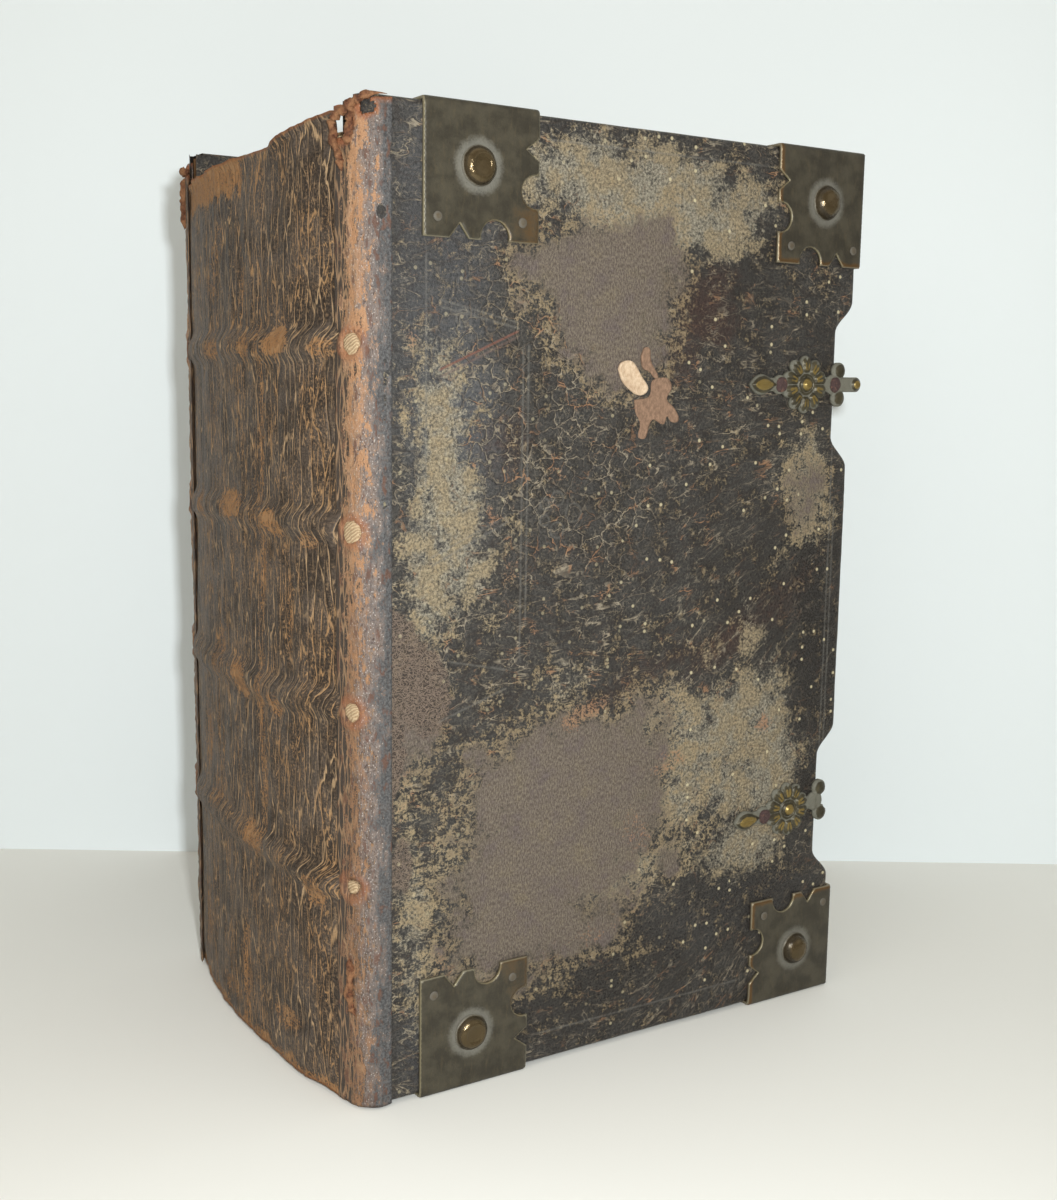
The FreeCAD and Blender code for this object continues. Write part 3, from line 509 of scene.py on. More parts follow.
RULED = [((-44.6, 162.6), (-26.0, 158.7), 0.0), ((-44.0, 161.2), (-26.0, 157.6), 0.0),
         ((-44.5, 149.0), (-26.0, 157.2), 1.0), ((-44.0, 147.8), (-26.0, 156.2), 0.3),
         ((-46.5, 112.4), (-28.2, 120.5), 0.0), ((-45.9, 110.9), (-28.0, 119.2), 0.0),
         ((-41.4, 91.4), (-28.2, 88.6), 0.0), ((-44.1, 79.2), (-27.7, 84.8), 0.0),
         ((-47.1, 124.0), (-47.1, 173.0), 0.0), ((-25.0, 88.0), (-25.0, 157.0), 0.0),
         ((-23.7, 96.0), (-23.7, 157.0), 0.0), ((61.8, 30.0), (61.8, 124.0), 0.0),
         ((60.6, 30.0), (60.6, 172.0), 0.0), ((-22.0, 194.6), (40.0, 194.6), 0.0),
         ((-22.0, 7.2), (40.0, 7.2), 0.0)]
STAMPED = [(-16.2, 123.4, 1.5), (-12.2, 120.4, 1.9), (-16.2, 116.9, 1.6), (-19.3, 122.4, 1.1),
           (-19.3, 119.0, 1.1), (-38.8, 159.2, 1.7), (-38.8, 159.2, 0.8)]


def tooling(place):
    """Blind ruled lines and small round stamps on the front cover: how deep, and how reddish, each is."""
    across, deep, tall = place.parts()
    lines, red = None, None
    for (x, z), (end_x, end_z), warm in RULED:
        long = math.hypot(end_x - x, end_z - z)
        way_x, way_z = (end_x - x) / long, (end_z - z) / long
        dx, dz = across - x, tall - z
        line = (dx * way_z - dz * way_x).near(0.0, 0.42)
        line = line * (dx * way_x + dz * way_z).near(long / 2, long / 2 + 0.6).ease(0.0, 0.05)
        lines = line if lines is None else lines.math("MAXIMUM", lines, line)
        if warm:
            red = line * warm if red is None else red.math("MAXIMUM", red, line * warm)
    for x, z, around in STAMPED:
        dx, dz = across - x, tall - z
        away = (dx * dx + dz * dz).math("SQRT", dx * dx + dz * dz)
        lines = lines.math("MAXIMUM", lines, away.near(around, 0.42) * 0.9)
    in_front = deep.ease(0.0, -10.0)
    return lines * in_front, red * in_front


def leather_finish(name):
    """Dark calf: crack network with painted shade beside the cracks, bleached, scuffed, raw, reddened and
    polished places, painted bluish sheen, fly specks, rules.
    """
    finish, start, place = new_finish(name)
    bleached, scuffed, raw = (field(start, kind) for kind in ("bleached", "scuffed", "raw"))
    reddened, polished, celled = (field(start, kind) for kind in ("reddened", "polished", "celled"))
    painted_sheen, webbed = field(start, "painted_sheen"), field(start, "webbed")
    run = start.node("Attribute", {"attribute_name": "crack_run"}, out=1)
    run.sheet = True
    along, deep, up = place.parts()
    deep = deep.math("ABSOLUTE", deep)
    sheet = place.unfold(along + deep * 0.6, up + deep * 0.8)
    fine = sheet.cloud(1.7, 4.0, 0.72)
    grain = sheet.cloud(5.5, 1.0, 0.7)
    middle = sheet.cloud(0.55, 3.0, 0.7)
    patchy = sheet.cloud(0.16, 3.0, 0.65)

    long_place = run.wander(0.3, 3.4).wander(1.5, 1.0)
    long_big, long_small = long_place.rifts(0.27), long_place.rifts(0.7)
    round_place = sheet.stretch(1, 1.15, 1).wander(0.3, 3.2).wander(1.3, 1.1)
    round_big, round_small = round_place.rifts(0.25), round_place.rifts(0.72)
    cell_share = (celled + (patchy - 0.5) * 0.8).ease(0.3, 0.7)
    strong = sheet.cloud(0.09, 2.0, 0.6).ease(0.38, 0.62)
    broken, split = run.cloud(0.42, 2.0, 0.7).ease(0.42, 0.56), sheet.cloud(0.5, 2.0, 0.7).ease(0.44, 0.6)
    big = cell_share * round_big.ease(0.05, 0.012) + (1 - cell_share) * long_big.ease(0.042, 0.01) * broken
    level_small = (1 - cell_share) * long_small.ease(0.07, 0.02) * broken
    small = cell_share * round_small.ease(0.07, 0.02) * split + level_small
    calm = 1 - polished * 0.8
    cracks = ((big * (strong * 0.6 + 0.4) + small * (0.25 + strong * 0.35)) * calm).clear()
    # Painted shade: a darker band along both sides of every crack, standing in for the shadow beside the
    # cracks' raised rims.
    beside = (cell_share * round_big.ease(0.16, 0.03) + (1 - cell_share) * long_big.ease(0.14, 0.03)) * calm

    ragged = (patchy - 0.5) * 1.1 + (middle - 0.5) * 0.9 + (fine - 0.5) * 0.7
    pale = bleached + ragged + small * 0.25
    pale = pale.ease(0.42, 0.85)
    core = scuffed + (patchy - 0.5) * 0.8 + (middle - 0.5) * 0.8 + (fine - 0.5) * 0.7
    border = core.near(0.42, 0.34) * (middle + (fine - 0.5)).ease(0.4, 0.66)
    core = core.ease(0.3, 0.8)
    raw = (raw + (fine - 0.5) * 1.6 + (middle - 0.5) * 0.9 + cracks * 0.2).ease(0.62, 1.0)

    dark = fine.ease(0.3, 0.7).tint(linear(40, 39, 38), linear(70, 67, 64))
    dark = patchy.ease(0.4, 0.65).tint(dark,
                                       fine.ease(0.3, 0.7).tint(linear(32, 30, 29), linear(56, 53, 50)))
    # Painted sheen: bluish grey patches painted into the leather colour in place of the flash's reflection.
    dark = (painted_sheen * 0.8).tint(dark, fine.ease(0.3, 0.7).tint(linear(64, 66, 70), linear(94, 95, 98)))
    dark = (polished * 0.8).tint(dark, fine.tint(linear(24, 22, 21), linear(46, 42, 39)))
    red_share = (reddened + (middle - 0.5) * 0.9).ease(0.3, 0.9)
    dark = (red_share * 0.75).tint(dark, fine.ease(0.3, 0.7).tint(linear(42, 29, 26), linear(70, 52, 46)))
    # Painted shade beside the cracks, darkening the leather colour.
    skin = (beside * 0.5).tint(dark, linear(44, 38, 35))
    dusty = ((middle - 0.5) * 1.2 + (fine - 0.5) * 1.4 + (strong - 0.5) * 0.3).ease(0.12, 0.6) * calm
    skin = (dusty * 0.4).tint(skin, linear(104, 98, 87))
    pale_line = middle.ease(0.4, 0.6).tint(linear(116, 107, 94), linear(150, 140, 122))
    warm_line = sheet.cloud(0.2, 2.0, 0.6).ease(0.54, 0.66).tint(pale_line, linear(150, 114, 86))
    skin = (cracks * 0.8).tint(skin, warm_line)
    khaki = fine.ease(0.3, 0.7).tint(linear(100, 96, 86), linear(156, 149, 132))
    khaki = patchy.ease(0.4, 0.6).tint(khaki,
                                       fine.ease(0.3, 0.7).tint(linear(108, 98, 80), linear(158, 144, 118)))
    wrinkle = ((round_small.ease(0.13, 0.02) * 0.55 + round_big.ease(0.07, 0.015) * 0.5)
               * middle.ease(0.38, 0.6))
    khaki = (wrinkle.clear() * 0.8).tint(khaki, linear(82, 74, 64))
    khaki = ((fine - 0.5) * 2.4 + (grain - 0.5) * 1.4).ease(0.02, -0.8).tint(khaki, linear(84, 77, 68))
    skin = (pale * 0.9).tint(skin, khaki)
    nap = sheet.stretch(1, 0.45, 1).cloud(3.0, 3.0, 0.78)
    suede = nap.ease(0.3, 0.7).tint(linear(76, 67, 62), linear(120, 110, 98))
    violet = (patchy - 0.5) * 1.2 + (middle - 0.5) * 0.5
    suede = (violet.ease(0.0, 0.35) * 0.7).tint(suede,
                                                nap.ease(0.3, 0.7).tint(linear(76, 67, 66),
                                                                        linear(106, 96, 94)))
    suede = (violet.ease(-0.02, -0.4) * 0.5).tint(suede,
                                                  nap.ease(0.3, 0.7).tint(linear(92, 82, 66),
                                                                          linear(132, 120, 98)))
    skin = (core * 0.95).tint(skin, suede)
    skin = (border * 0.6).tint(skin, grain.tint(linear(128, 112, 84), linear(168, 148, 116)))
    skin = (raw * 0.8).tint(skin, grain.tint(linear(124, 92, 72), linear(164, 128, 100)))

    web = sheet.stretch(1, 1.4, 1).wander(0.8, 1.8)
    threads = (web.rifts(0.7).ease(0.13, 0.03) + web.rifts(1.5).ease(0.16, 0.05)).clear()
    web_share = (webbed + (middle - 0.5) * 0.8).ease(0.3, 0.6)
    frayed = threads.tint(fine.tint(linear(26, 22, 20), linear(66, 56, 51)),
                          grain.tint(linear(88, 76, 68), linear(128, 112, 99)))
    skin = (web_share * 0.85).tint(skin, frayed)

    ruled, ruled_red = tooling(place)
    ruled = ruled * (1 - core) * (middle.ease(0.3, 0.5) * 0.6 + 0.4)
    skin = (ruled * 0.4).tint(skin, linear(108, 106, 101))
    skin = (ruled_red * 0.7).tint(skin, linear(112, 66, 52))

    speck_size = sheet.node("TexVoronoi", sheet.cells_kind(), {"Vector": sheet, "Scale": 0.3}, 1).parts()[0]
    speck = sheet.spots(0.3).ease(0.15, 0.07) * speck_size.ease(0.84, 0.88)
    speck = speck * (along.ease(-10, 15) * 0.6 + 0.4) * (1 - core)
    skin = (speck * 0.75).tint(skin, linear(198, 186, 152))

    height = fine * 0.6 + grain * 0.2 - round_big.ease(0.16, 0.03) * celled * 0.5
    dull = 0.4 + core * 0.42 + pale * 0.3 + raw * 0.3 + cracks * 0.2 - polished * 0.13 + (fine - 0.5) * 0.3
    close_finish(start, {"Base Color": skin, "Roughness": dull.clear(), "Normal": height.relief(0.0003)},
                 {"Specular IOR Level": 0.22})
    return finish


cover_leather = leather_finish("cover_leather")
SIDES = {"front": -1, "back": 1}
for word, side in SIDES.items():
    skin = cover_skin(f"{word}_cover_skin", side, cover_leather, 1.0 if side < 0 else 0.5)
    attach(skin, f"{word}_cover")
    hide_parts(f"{word}_leather")


# Spine leather: one skin glued to the rounded back of the sewn leaves, moulded over four raised cords.
# It has dried into tall narrow plates with tan cracks between them, is rubbed to raw leather on the
# bands and torn off at the head, where the folded cap is lost.
BAND_HEIGHTS = (47.0, 82.6, 118.2, 153.8)
BAND_HALF, BAND_PROUD = 4.2, 1.35
SPINE_ROUND, SPINE_THICK = 6.0, 1.1
SPINE_FLAT_FRONT, SPINE_FLAT_BACK = 3.3, 2.1


def spine_x(across):
    """The back's outline. It is squarer towards the front cover, where the book leans on its joint."""
    share = np.clip(np.abs(across) / HINGE_Y, 0, 1)
    flat = np.where(across < 0, SPINE_FLAT_FRONT, SPINE_FLAT_BACK)
    return HINGE_X - SPINE_ROUND * (1 - share ** flat)


def head_edge(across):
    """Height of the torn head edge: low over the middle of the back, high beside the front joint."""
    climb = 4.6 * rise(-across, 12, 42) - 1.2 * rise(across, 10, 40)
    return (192.2 + climb + 0.3 * lumps(across, 0 * across, 4.6, 21)
            + 0.12 * lumps(across, 0 * across, 1.1, 22))


def tail_edge(across):
    return 1.1 + 0.3 * lumps(across, 0 * across, 4.0, 23) - 0.35 * rise(-across, 36, 43)


def band_height(across, up):
    """How far the raised bands lift the leather."""
    lift = np.zeros(np.shape(up))
    for number, middle in enumerate(BAND_HEIGHTS):
        bent = middle + 0.8 * lumps(across, 0 * across, 18, 40 + number)
        lift += BAND_PROUD * rise(-np.abs(up - bent), -BAND_HALF, -0.6)
    return lift * rise(-np.abs(across), -HINGE_Y - 1, -HINGE_Y + 7)


def outward(across):
    """The direction square to the back, in plan."""
    slope = np.gradient(spine_x(across), across)
    length = np.hypot(1, slope)
    return -1 / length, slope / length


RAW_SPINE = [
    (-38, 153, 5, 2.2, 0, 0.8), (-22, 154, 5, 3.0, 0, 1.0), (-8, 154, 4, 2.5, 0, 0.8),
    (14, 153, 7, 2.6, 0, 0.7),
    (-18, 117, 6, 3.0, 0, 0.9), (3, 120, 7, 3.5, 0, 0.9), (-33, 115, 4, 2.5, 0, 0.7),
    (26, 118, 5, 3, 0, 0.7),
    (0, 82, 7, 4, 0, 0.9), (-20, 80, 4, 3, 0, 0.8), (14, 86, 4, 6, 0, 0.6), (-8, 48, 6, 4, 0, 0.8),
    (18, 50, 5, 6, 0, 0.7), (-14, 140, 1.6, 40, 0, 0.62), (-12, 90, 2.2, 34, 0, 0.66),
    (-13, 60, 2.4, 18, 0, 0.6),
    (-26, 100, 1.4, 16, 0, 0.5), (8, 176, 3, 8, 0, 0.5), (-4, 168, 2, 12, 0, 0.6), (14, 172, 5, 7, 0, 0.5),
    (24, 62, 4, 10, 0, 0.6), (-34, 44, 4, 4, 0, 0.8), (-2, 20, 3, 14, 0, 0.6), (-24, 12, 7, 3, 0, 0.8),
    (28, 20, 4, 12, 0, 0.6), (8, 8, 7, 3, 0, 0.7),
]


def closed_skin(outer, inner, kept=None):
    """A thick skin from two grids of points: both faces, and walls round every edge of what is kept."""
    rows, columns = outer.shape[:2]
    kept = np.ones((rows - 1, columns - 1), bool) if kept is None else kept
    count = rows * columns
    number = np.arange(count).reshape(rows, columns)
    faces = [grid_faces(rows, columns, kept), grid_faces(rows, columns, kept)[:, ::-1] + count]
    wide = np.zeros((rows + 1, columns + 1), bool)
    wide[1:-1, 1:-1] = kept
    below, above = wide[:-1, 1:-1], wide[1:, 1:-1]
    for low, high, first, second in ((below, above, number[:, :-1], number[:, 1:]),
                                     (wide[1:-1, 1:], wide[1:-1, :-1], number[:-1, :], number[1:, :])):
        for here, there, start, end in ((high, low, first, second), (low, high, second, first)):
            edge = here & ~there
            faces.append(np.stack([end[edge], start[edge], start[edge] + count, end[edge] + count], -1))
    return np.concatenate([outer.reshape(-1, 3), inner.reshape(-1, 3)]), np.concatenate(faces)


def both(values):
    return np.concatenate([np.ravel(values)] * 2)


across_back = np.linspace(-HINGE_Y + 0.6, HINGE_Y - 0.6, 150)
tall_share = np.linspace(0, 1, 270)
across, share = np.meshgrid(across_back, tall_share)
low_edge, high_edge = tail_edge(across), head_edge(across)
up = low_edge + (high_edge - low_edge) * share
normal_x, normal_y = outward(across_back)
furrow = ((0.13 * lumps(across, up * 0.11, 1.5, 50) + 0.08 * lumps(across, up * 0.2, 0.8, 51))
          * rise(head_edge(across) - up, 0, 4))
furrow += 0.25 * rough(across, up * 0.5, 14, 52)
raw_back = patches(RAW_SPINE, across, up, 53, ragged=0.55)
raw_head = rise(up - high_edge + 7.0 + 1.6 * lumps(across, up * 0.2, 1.6, 54), -1.2, 1.0)
raw_head *= rise(-across, -60, -30) * (1 - 0.75 * rise(-across, 2, 8))
raw_tail = rise(low_edge + 2.4 + 1.5 * lumps(across, up * 0.3, 3.0, 55) - up, -1, 1)
raw_back = np.maximum(raw_back, np.maximum(raw_head, raw_tail * 0.8))
lift = band_height(across, up) + (furrow - 0.25 * raw_back) * rise(-np.abs(across), -HINGE_Y, -HINGE_Y + 5)
lift -= 0.25 * rise(np.abs(up - 100), 90, 100)
curl = rise(up - high_edge, -2.0, 0) * (0.5 + 0.6 * lumps(across, 0 * up, 3.5, 56))
outer = np.stack([spine_x(across) + normal_x * (lift + curl), across + normal_y * (lift + curl), up], -1)
inside = lift * 0.5 - SPINE_THICK * (1 - 0.5 * rise(up - high_edge, -3, 0)) + curl
inner = np.stack([spine_x(across) + normal_x * inside, across + normal_y * inside, up], -1)


def back_finish(name):
    """Dark leather in tall narrow plates, with tan cracks that run up the back and shear at the bands."""
    finish, start, place = new_finish(name)
    raw, worn_edge, shear = field(start, "raw"), field(start, "worn_edge"), field(start, "shear")
    behind, along, up = place.parts()
    sheet = place.unfold(along + shear + behind * 0.5, up)
    fine = sheet.cloud(1.9, 3.0, 0.65)
    grain = sheet.cloud(5.0, 1.0)
    middle = sheet.cloud(0.5, 3.0, 0.65)
    patchy = sheet.stretch(1, 0.35, 1).cloud(0.14, 3.0, 0.6)
    plates = sheet.stretch(1.0, 0.13, 1).wander(0.45, 1.3).wander(2.0, 0.45)
    wide = plates.rifts(0.4)
    narrow = plates.stretch(1, 1.7, 1).rifts(0.9)
    hair = plates.stretch(1, 3.0, 1).rifts(1.7)
    patch_weight = patchy.ease(0.35, 0.62)
    gaps = plates.stretch(1, 2.0, 1).cloud(0.9, 2.0, 0.7)
    wide_line = wide.ease(0.05, 0.012) * (gaps.ease(0.36, 0.5) * 0.7 + 0.3)
    narrow_line = narrow.ease(0.08, 0.02) * gaps.ease(0.42, 0.56)
    hair_line = hair.ease(0.14, 0.03) * fine.ease(0.45, 0.6)
    cracks = (wide_line * 0.85 + narrow_line * (0.4 + patch_weight * 0.6)
              + hair_line * 0.5 * patch_weight).clear()
    raw = (raw + (fine - 0.5) * 1.6 + (middle - 0.5) * 1.2 + cracks * 0.3
           + (patchy - 0.5) * 0.8).ease(0.5, 1.05)
    dark = fine.ease(0.3, 0.7).tint(linear(36, 29, 24), linear(70, 59, 50))
    dark = sheet.cloud(0.09, 2.0).ease(0.42, 0.62).tint(dark,
                                                        fine.ease(0.3, 0.7).tint(linear(60, 52, 46),
                                                                                 linear(90, 79, 70)))
    dark = (wide.ease(0.1, 0.35) * 0.3).tint(dark, linear(52, 43, 36))
    line = grain.tint(linear(152, 126, 95), linear(196, 166, 130))
    line = patch_weight.tint(line, grain.tint(linear(140, 108, 74), linear(180, 142, 100)))
    skin = (cracks * 0.85).tint(dark, line)
    dusty = (middle - 0.5) * 1.5 + (fine - 0.5) * 1.2
    skin = (dusty.ease(0.05, 0.6) * 0.4).tint(skin, linear(138, 112, 84))
    side_shadow = plates.shift((0.28, 0.0, 0.0)).rifts(0.4).ease(0.09, 0.02)
    skin = (side_shadow * 0.6 * (1 - cracks)).tint(skin, linear(38, 29, 23))
    tan = grain.tint(linear(128, 90, 56), linear(172, 128, 84))
    tan = middle.ease(0.45, 0.65).tint(tan, linear(150, 116, 82))
    skin = (raw * 0.85).tint(skin, tan)
    skin = (worn_edge * 0.7).tint(skin, grain.tint(linear(120, 70, 44), linear(160, 104, 66)))
    height = fine * 0.4 + grain * 0.15 - wide.ease(0.12, 0.02) * 0.45
    close_finish(start, {"Base Color": skin, "Roughness": (0.5 + raw * 0.25 + cracks * 0.15).clear(),
                         "Normal": height.relief(0.0003)}, {"Specular IOR Level": 0.22})
    return finish


spine_finish = back_finish("spine_leather")
edge_wear = np.maximum(rise(up - high_edge, -0.7, 0), rise(low_edge - up, -0.7, 0))
shear = np.zeros(up.shape)
for number, middle in enumerate(BAND_HEIGHTS):
    shear += (2.6 - 0.8 * (number % 3)) * rise(-across, -30, 30) * rise(up, middle - 3, middle + 3.4)
hole_away = np.hypot((across + 42.2) / 1.9, (up - 193.7) / 2.7) + 0.2 * lumps(across, up, 1.5, 57)
points, faces = closed_skin(outer, inner, hole_away[:-1, :-1] > 1)
spine_skin = mesh_piece("spine_skin", points, faces, spine_finish,
                        {"raw": both(raw_back), "worn_edge": both(edge_wear), "shear": both(shear)})
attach(spine_skin, "book_block")
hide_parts("spine_leather")


# Joints: the same leather where it crosses from the back to the cover. It is worn to a raw orange
# ridge with grey glossy scales and split open at the head. Its fibres hang together on the cover side.
CORD_ENDS = {153.8: 1.75, 118.2: 1.9, 82.6: 1.6, 47.0: 1.15}
CORD_RUN = 0.36
JOINT_PATH = ((-62.55, 40.6), (-62.2, 42.2), (-61.75, 43.9), (-61.35, 45.4), (-60.6, 46.9), (-59.2, 48.0),
              (-57.2, 48.72), (-54.4, 48.66))


def smooth_path(corners, count):
    """Points spaced evenly along a smooth curve through the corners."""
    corners = np.asarray(corners, float)
    padded = np.concatenate([[2 * corners[0] - corners[1]], corners, [2 * corners[-1] - corners[-2]]])
    pieces = []
    for n in range(len(corners) - 1):
        p0, p1, p2, p3 = padded[n:n + 4]
        t = np.linspace(0, 1, 24, endpoint=False)[:, None]
        pieces.append(0.5 * (2 * p1 + (p2 - p0) * t + (2 * p0 - 5 * p1 + 4 * p2 - p3) * t ** 2
                             + (3 * p1 - p0 - 3 * p2 + p3) * t ** 3))
    curve = np.concatenate(pieces + [corners[-1:]])
    run = np.concatenate([[0], np.cumsum(np.linalg.norm(np.diff(curve, axis=0), axis=1))])
    even = np.linspace(0, run[-1], count)
    return np.stack([np.interp(even, run, curve[:, axis]) for axis in range(curve.shape[1])], -1)


def joint_finish(name):
    """Raw orange leather on the ridge, grey glossy scales with pale painted glints on them, and reddish torn
    edges beside it.
    """
    finish, start, place = new_finish(name)
    run, torn = field(start, "run"), field(start, "torn")
    behind, along, tall = place.parts()
    sheet = place.unfold(behind + along.math("ABSOLUTE", along), tall)
    fine = sheet.cloud(1.9, 3.0, 0.65)
    grain = sheet.cloud(4.5, 1.0)
    blotch = sheet.stretch(1, 0.45, 1).cloud(0.5, 3.0, 0.65)
    scales = sheet.stretch(1, 0.5, 1).wander(0.5, 2.2).wander(2.2, 0.8).rifts(0.8)
    orange = grain.tint(linear(136, 96, 66), linear(184, 142, 106))
    orange = blotch.ease(0.45, 0.7).tint(orange, grain.tint(linear(156, 124, 96), linear(200, 168, 134)))
    grey = fine.tint(linear(78, 68, 65), linear(134, 120, 112))
    grey = (scales.ease(0.1, 0.02) * fine.ease(0.4, 0.6)).tint(grey, linear(62, 44, 38))
    dark = fine.tint(linear(42, 35, 31), linear(76, 65, 56))
    plates = sheet.stretch(0.8, 0.12, 1).wander(0.5, 1.1).rifts(0.9)
    dark = (plates.ease(0.14, 0.03) * 0.8).tint(dark, linear(152, 122, 92))
    broad = sheet.stretch(1, 0.5, 1).cloud(0.16, 3.0, 0.7)
    spread = run + (blotch - 0.5) * 0.85 + (fine - 0.5) * 0.45 + (broad - 0.5) * 0.9
    is_orange = spread.ease(0.2, 0.32) * (spread + tall.ease(140.0, 60.0) * 0.1).ease(0.6, 0.46)
    is_grey = spread.ease(0.44, 0.56) * spread.ease(0.84, 0.66)
    orange = (tall.ease(150.0, 60.0) * 0.6 + (blotch - 0.5)).clear().tint(orange, grain.tint(
        linear(74, 50, 36), linear(124, 90, 64)))
    cover_side = fine.ease(0.3, 0.7).tint(linear(54, 54, 56), linear(92, 92, 93))
    dark = (spread.ease(0.6, 0.7) * 0.95).tint(dark, cover_side)
    skin = (is_orange * 0.9).tint(dark, orange)
    skin = (is_grey * 0.9).tint(skin, grey)
    skin = (broad.ease(0.5, 0.64) * is_grey * 0.75).tint(skin, orange)
    skin = (blotch.ease(0.56, 0.7) * 0.75).tint(skin, linear(96, 64, 48))
    skin = torn.tint(skin, grain.tint(linear(104, 60, 40), linear(160, 104, 68)))
    # Painted highlights: pale spots on the grey scales that stand in for the glints of the flash, with less
    # roughness there too.
    painted_glint = sheet.spots(0.9).ease(0.16, 0.08) * is_grey
    skin = (painted_glint * 0.5).tint(skin, linear(196, 188, 180))
    height = fine * 0.6 + blotch * 0.9
    dull = 0.62 - is_grey * 0.32 - painted_glint * 0.15 + (fine - 0.5) * 0.2
    close_finish(start, {"Base Color": skin, "Roughness": dull.clear(), "Normal": height.relief(0.0004)},
                 {"Specular IOR Level": 0.4})
    return finish


joint_leather = joint_finish("joint_leather")
SPLITS = [(0.18, 193.7, 0.19, 2.9), (0.62, 196.4, 0.14, 1.3)]


def joint_skin(word, side):
    """The strip of leather over one joint, with ragged ends, folds and, in front, two holes at its head."""
    path = smooth_path(JOINT_PATH, 34)
    turn = np.gradient(path, axis=0)
    facing = np.stack([turn[:, 1], -turn[:, 0]], -1)
    facing /= -np.linalg.norm(facing, axis=1)[:, None]
    run = np.linspace(0, 1, len(path))
    seed = 80 if side < 0 else 880
    run, share = np.meshgrid(run, np.linspace(0, 1, 300))
    top = 197.2 + 1.7 * rise(run, 0.35, 0.95) + 0.45 * lumps(run * 9, 0 * run, 1.3, seed)
    top -= (0.0 if side < 0 else 3.2) * (1 - rise(run, 0.1, 0.8))
    bottom = 0.85 + 0.3 * lumps(run * 9, 0 * run, 1.7, seed + 1)
    up = bottom + (top - bottom) * share
    feather = rise(run, 0, 0.16) * (1 - rise(run, 0.86, 1.0))
    lift = (0.3 * rough(run * 11, up * 0.45, 4.2, seed + 2)
            + 0.16 * lumps(run * 11, up, 1.1, seed + 3)) * feather
    ring = np.zeros(run.shape)
    for middle in CORD_ENDS:
        away = np.hypot((run - CORD_RUN) * 12.8, up - middle) + 0.3 * lumps(run * 13, up, 1.4, seed + 5)
        lift += 0.5 * rise(-np.abs(away - 2.9), -1.7, 0) - 0.7 * rise(-away, -2.3, -1.2)
        ring = np.maximum(ring, rise(-np.abs(away - 2.7), -1.4, -0.3))
    thick = 0.14 + 0.75 * feather
    at = path[None, :, :] + facing[None, :, :] * lift[:, :, None]
    under = path[None, :, :] + facing[None, :, :] * (lift - thick)[:, :, None]
    kept = np.ones((run.shape[0] - 1, run.shape[1] - 1), bool)
    torn = rise(up - top, -1.2, 0)
    if side < 0:
        for middle_run, middle_up, half_run, half_up in SPLITS:
            away = np.hypot((run - middle_run) / half_run, (up - middle_up) / half_up)
            away += 0.25 * lumps(run * 14, up, 1.6, seed + 4)
            kept &= away[:-1, :-1] > 1
            torn = np.maximum(torn, rise(-away, -1.6, -1.05))
    outer = np.stack([at[..., 0], side * at[..., 1], up], -1)
    inner = np.stack([under[..., 0], side * under[..., 1], up], -1)
    points, faces = closed_skin(outer, inner, kept)
    faces = faces[:, ::-1] if side > 0 else faces
    skin = mesh_piece(f"{word}_joint_skin", points, faces, joint_leather,
                      {"run": both(run),
                       "torn": both(np.maximum(torn, ring * (0.5 + 0.3 * lumps(run * 13, up, 1.3,
                                                                               seed + 6))))})
    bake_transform(skin)


for word, side in SIDES.items():
    joint_skin(word, side)


# Torn edges at the front joint: the leather of the lost head cap has shrunk into a rolled, red brown lip
# round the holes, and short curled flaps hang at the joint's tail and at the head of the back joint.
LIP_RADIUS, LIP_TURNS = 0.75, 14
LIPS = {
    "front_head_lip": (-1, (0.02, 194.6), (0.1, 195.6), (0.24, 196.4), (0.4, 197.4), (0.56, 198.4),
                       (0.72, 199.0), (0.9, 199.1)),
    "front_split_lip": (-1, (0.03, 195.6), (0.0, 193.8), (0.02, 191.2), (0.1, 189.4), (0.16, 187.6),
                        (0.2, 185.4)),
    "front_bridge_lip": (-1, (0.36, 197.0), (0.39, 195.0), (0.38, 193.0), (0.34, 191.2), (0.26, 190.2)),
    "front_tail_lip": (-1, (0.3, 32.0), (0.34, 28.0), (0.3, 24.5), (0.36, 21.5), (0.46, 20.0)),
    "back_head_lip": (1, (0.05, 194.2), (0.12, 194.9), (0.26, 194.6), (0.4, 195.3), (0.56, 195.8)),
    "back_split_lip": (1, (0.3, 193.6), (0.36, 189.0), (0.4, 185.0), (0.46, 182.0)),
}


def joint_place(run, up, lift, side):
    """The place on a joint's outer face, run from the back (0) to the cover (1), raised by lift."""
    path = smooth_path(JOINT_PATH, 60)
    turn = np.gradient(path, axis=0)
    facing = np.stack([-turn[:, 1], turn[:, 0]], -1) / np.linalg.norm(turn, axis=1)[:, None]
    steps = np.linspace(0, 1, len(path))
    x = np.interp(run, steps, path[:, 0]) + lift * np.interp(run, steps, facing[:, 0])
    y = np.interp(run, steps, path[:, 1]) + lift * np.interp(run, steps, facing[:, 1])
    return np.stack([x, side * y, up], -1)


def lip_finish(name):
    """Shrunken raw leather, orange brown to dark red brown, wrinkled along the roll."""
    finish, start, place = new_finish(name)
    fine, grain = place.cloud(1.8, 5.0, 0.7), place.cloud(5.0, 2.0)
    raw = fine.ease(0.3, 0.7).tint(linear(62, 36, 26), linear(124, 80, 54))
    raw = place.cloud(0.5, 3.0).ease(0.42, 0.62).tint(raw,
                                                      grain.tint(linear(116, 78, 52), linear(158, 116, 82)))
    close_finish(start, {"Base Color": raw, "Roughness": 0.6 + fine * 0.25,
                         "Normal": (fine * 0.8 + grain * 0.3).relief(0.0005)}, {"Specular IOR Level": 0.3})
    return finish


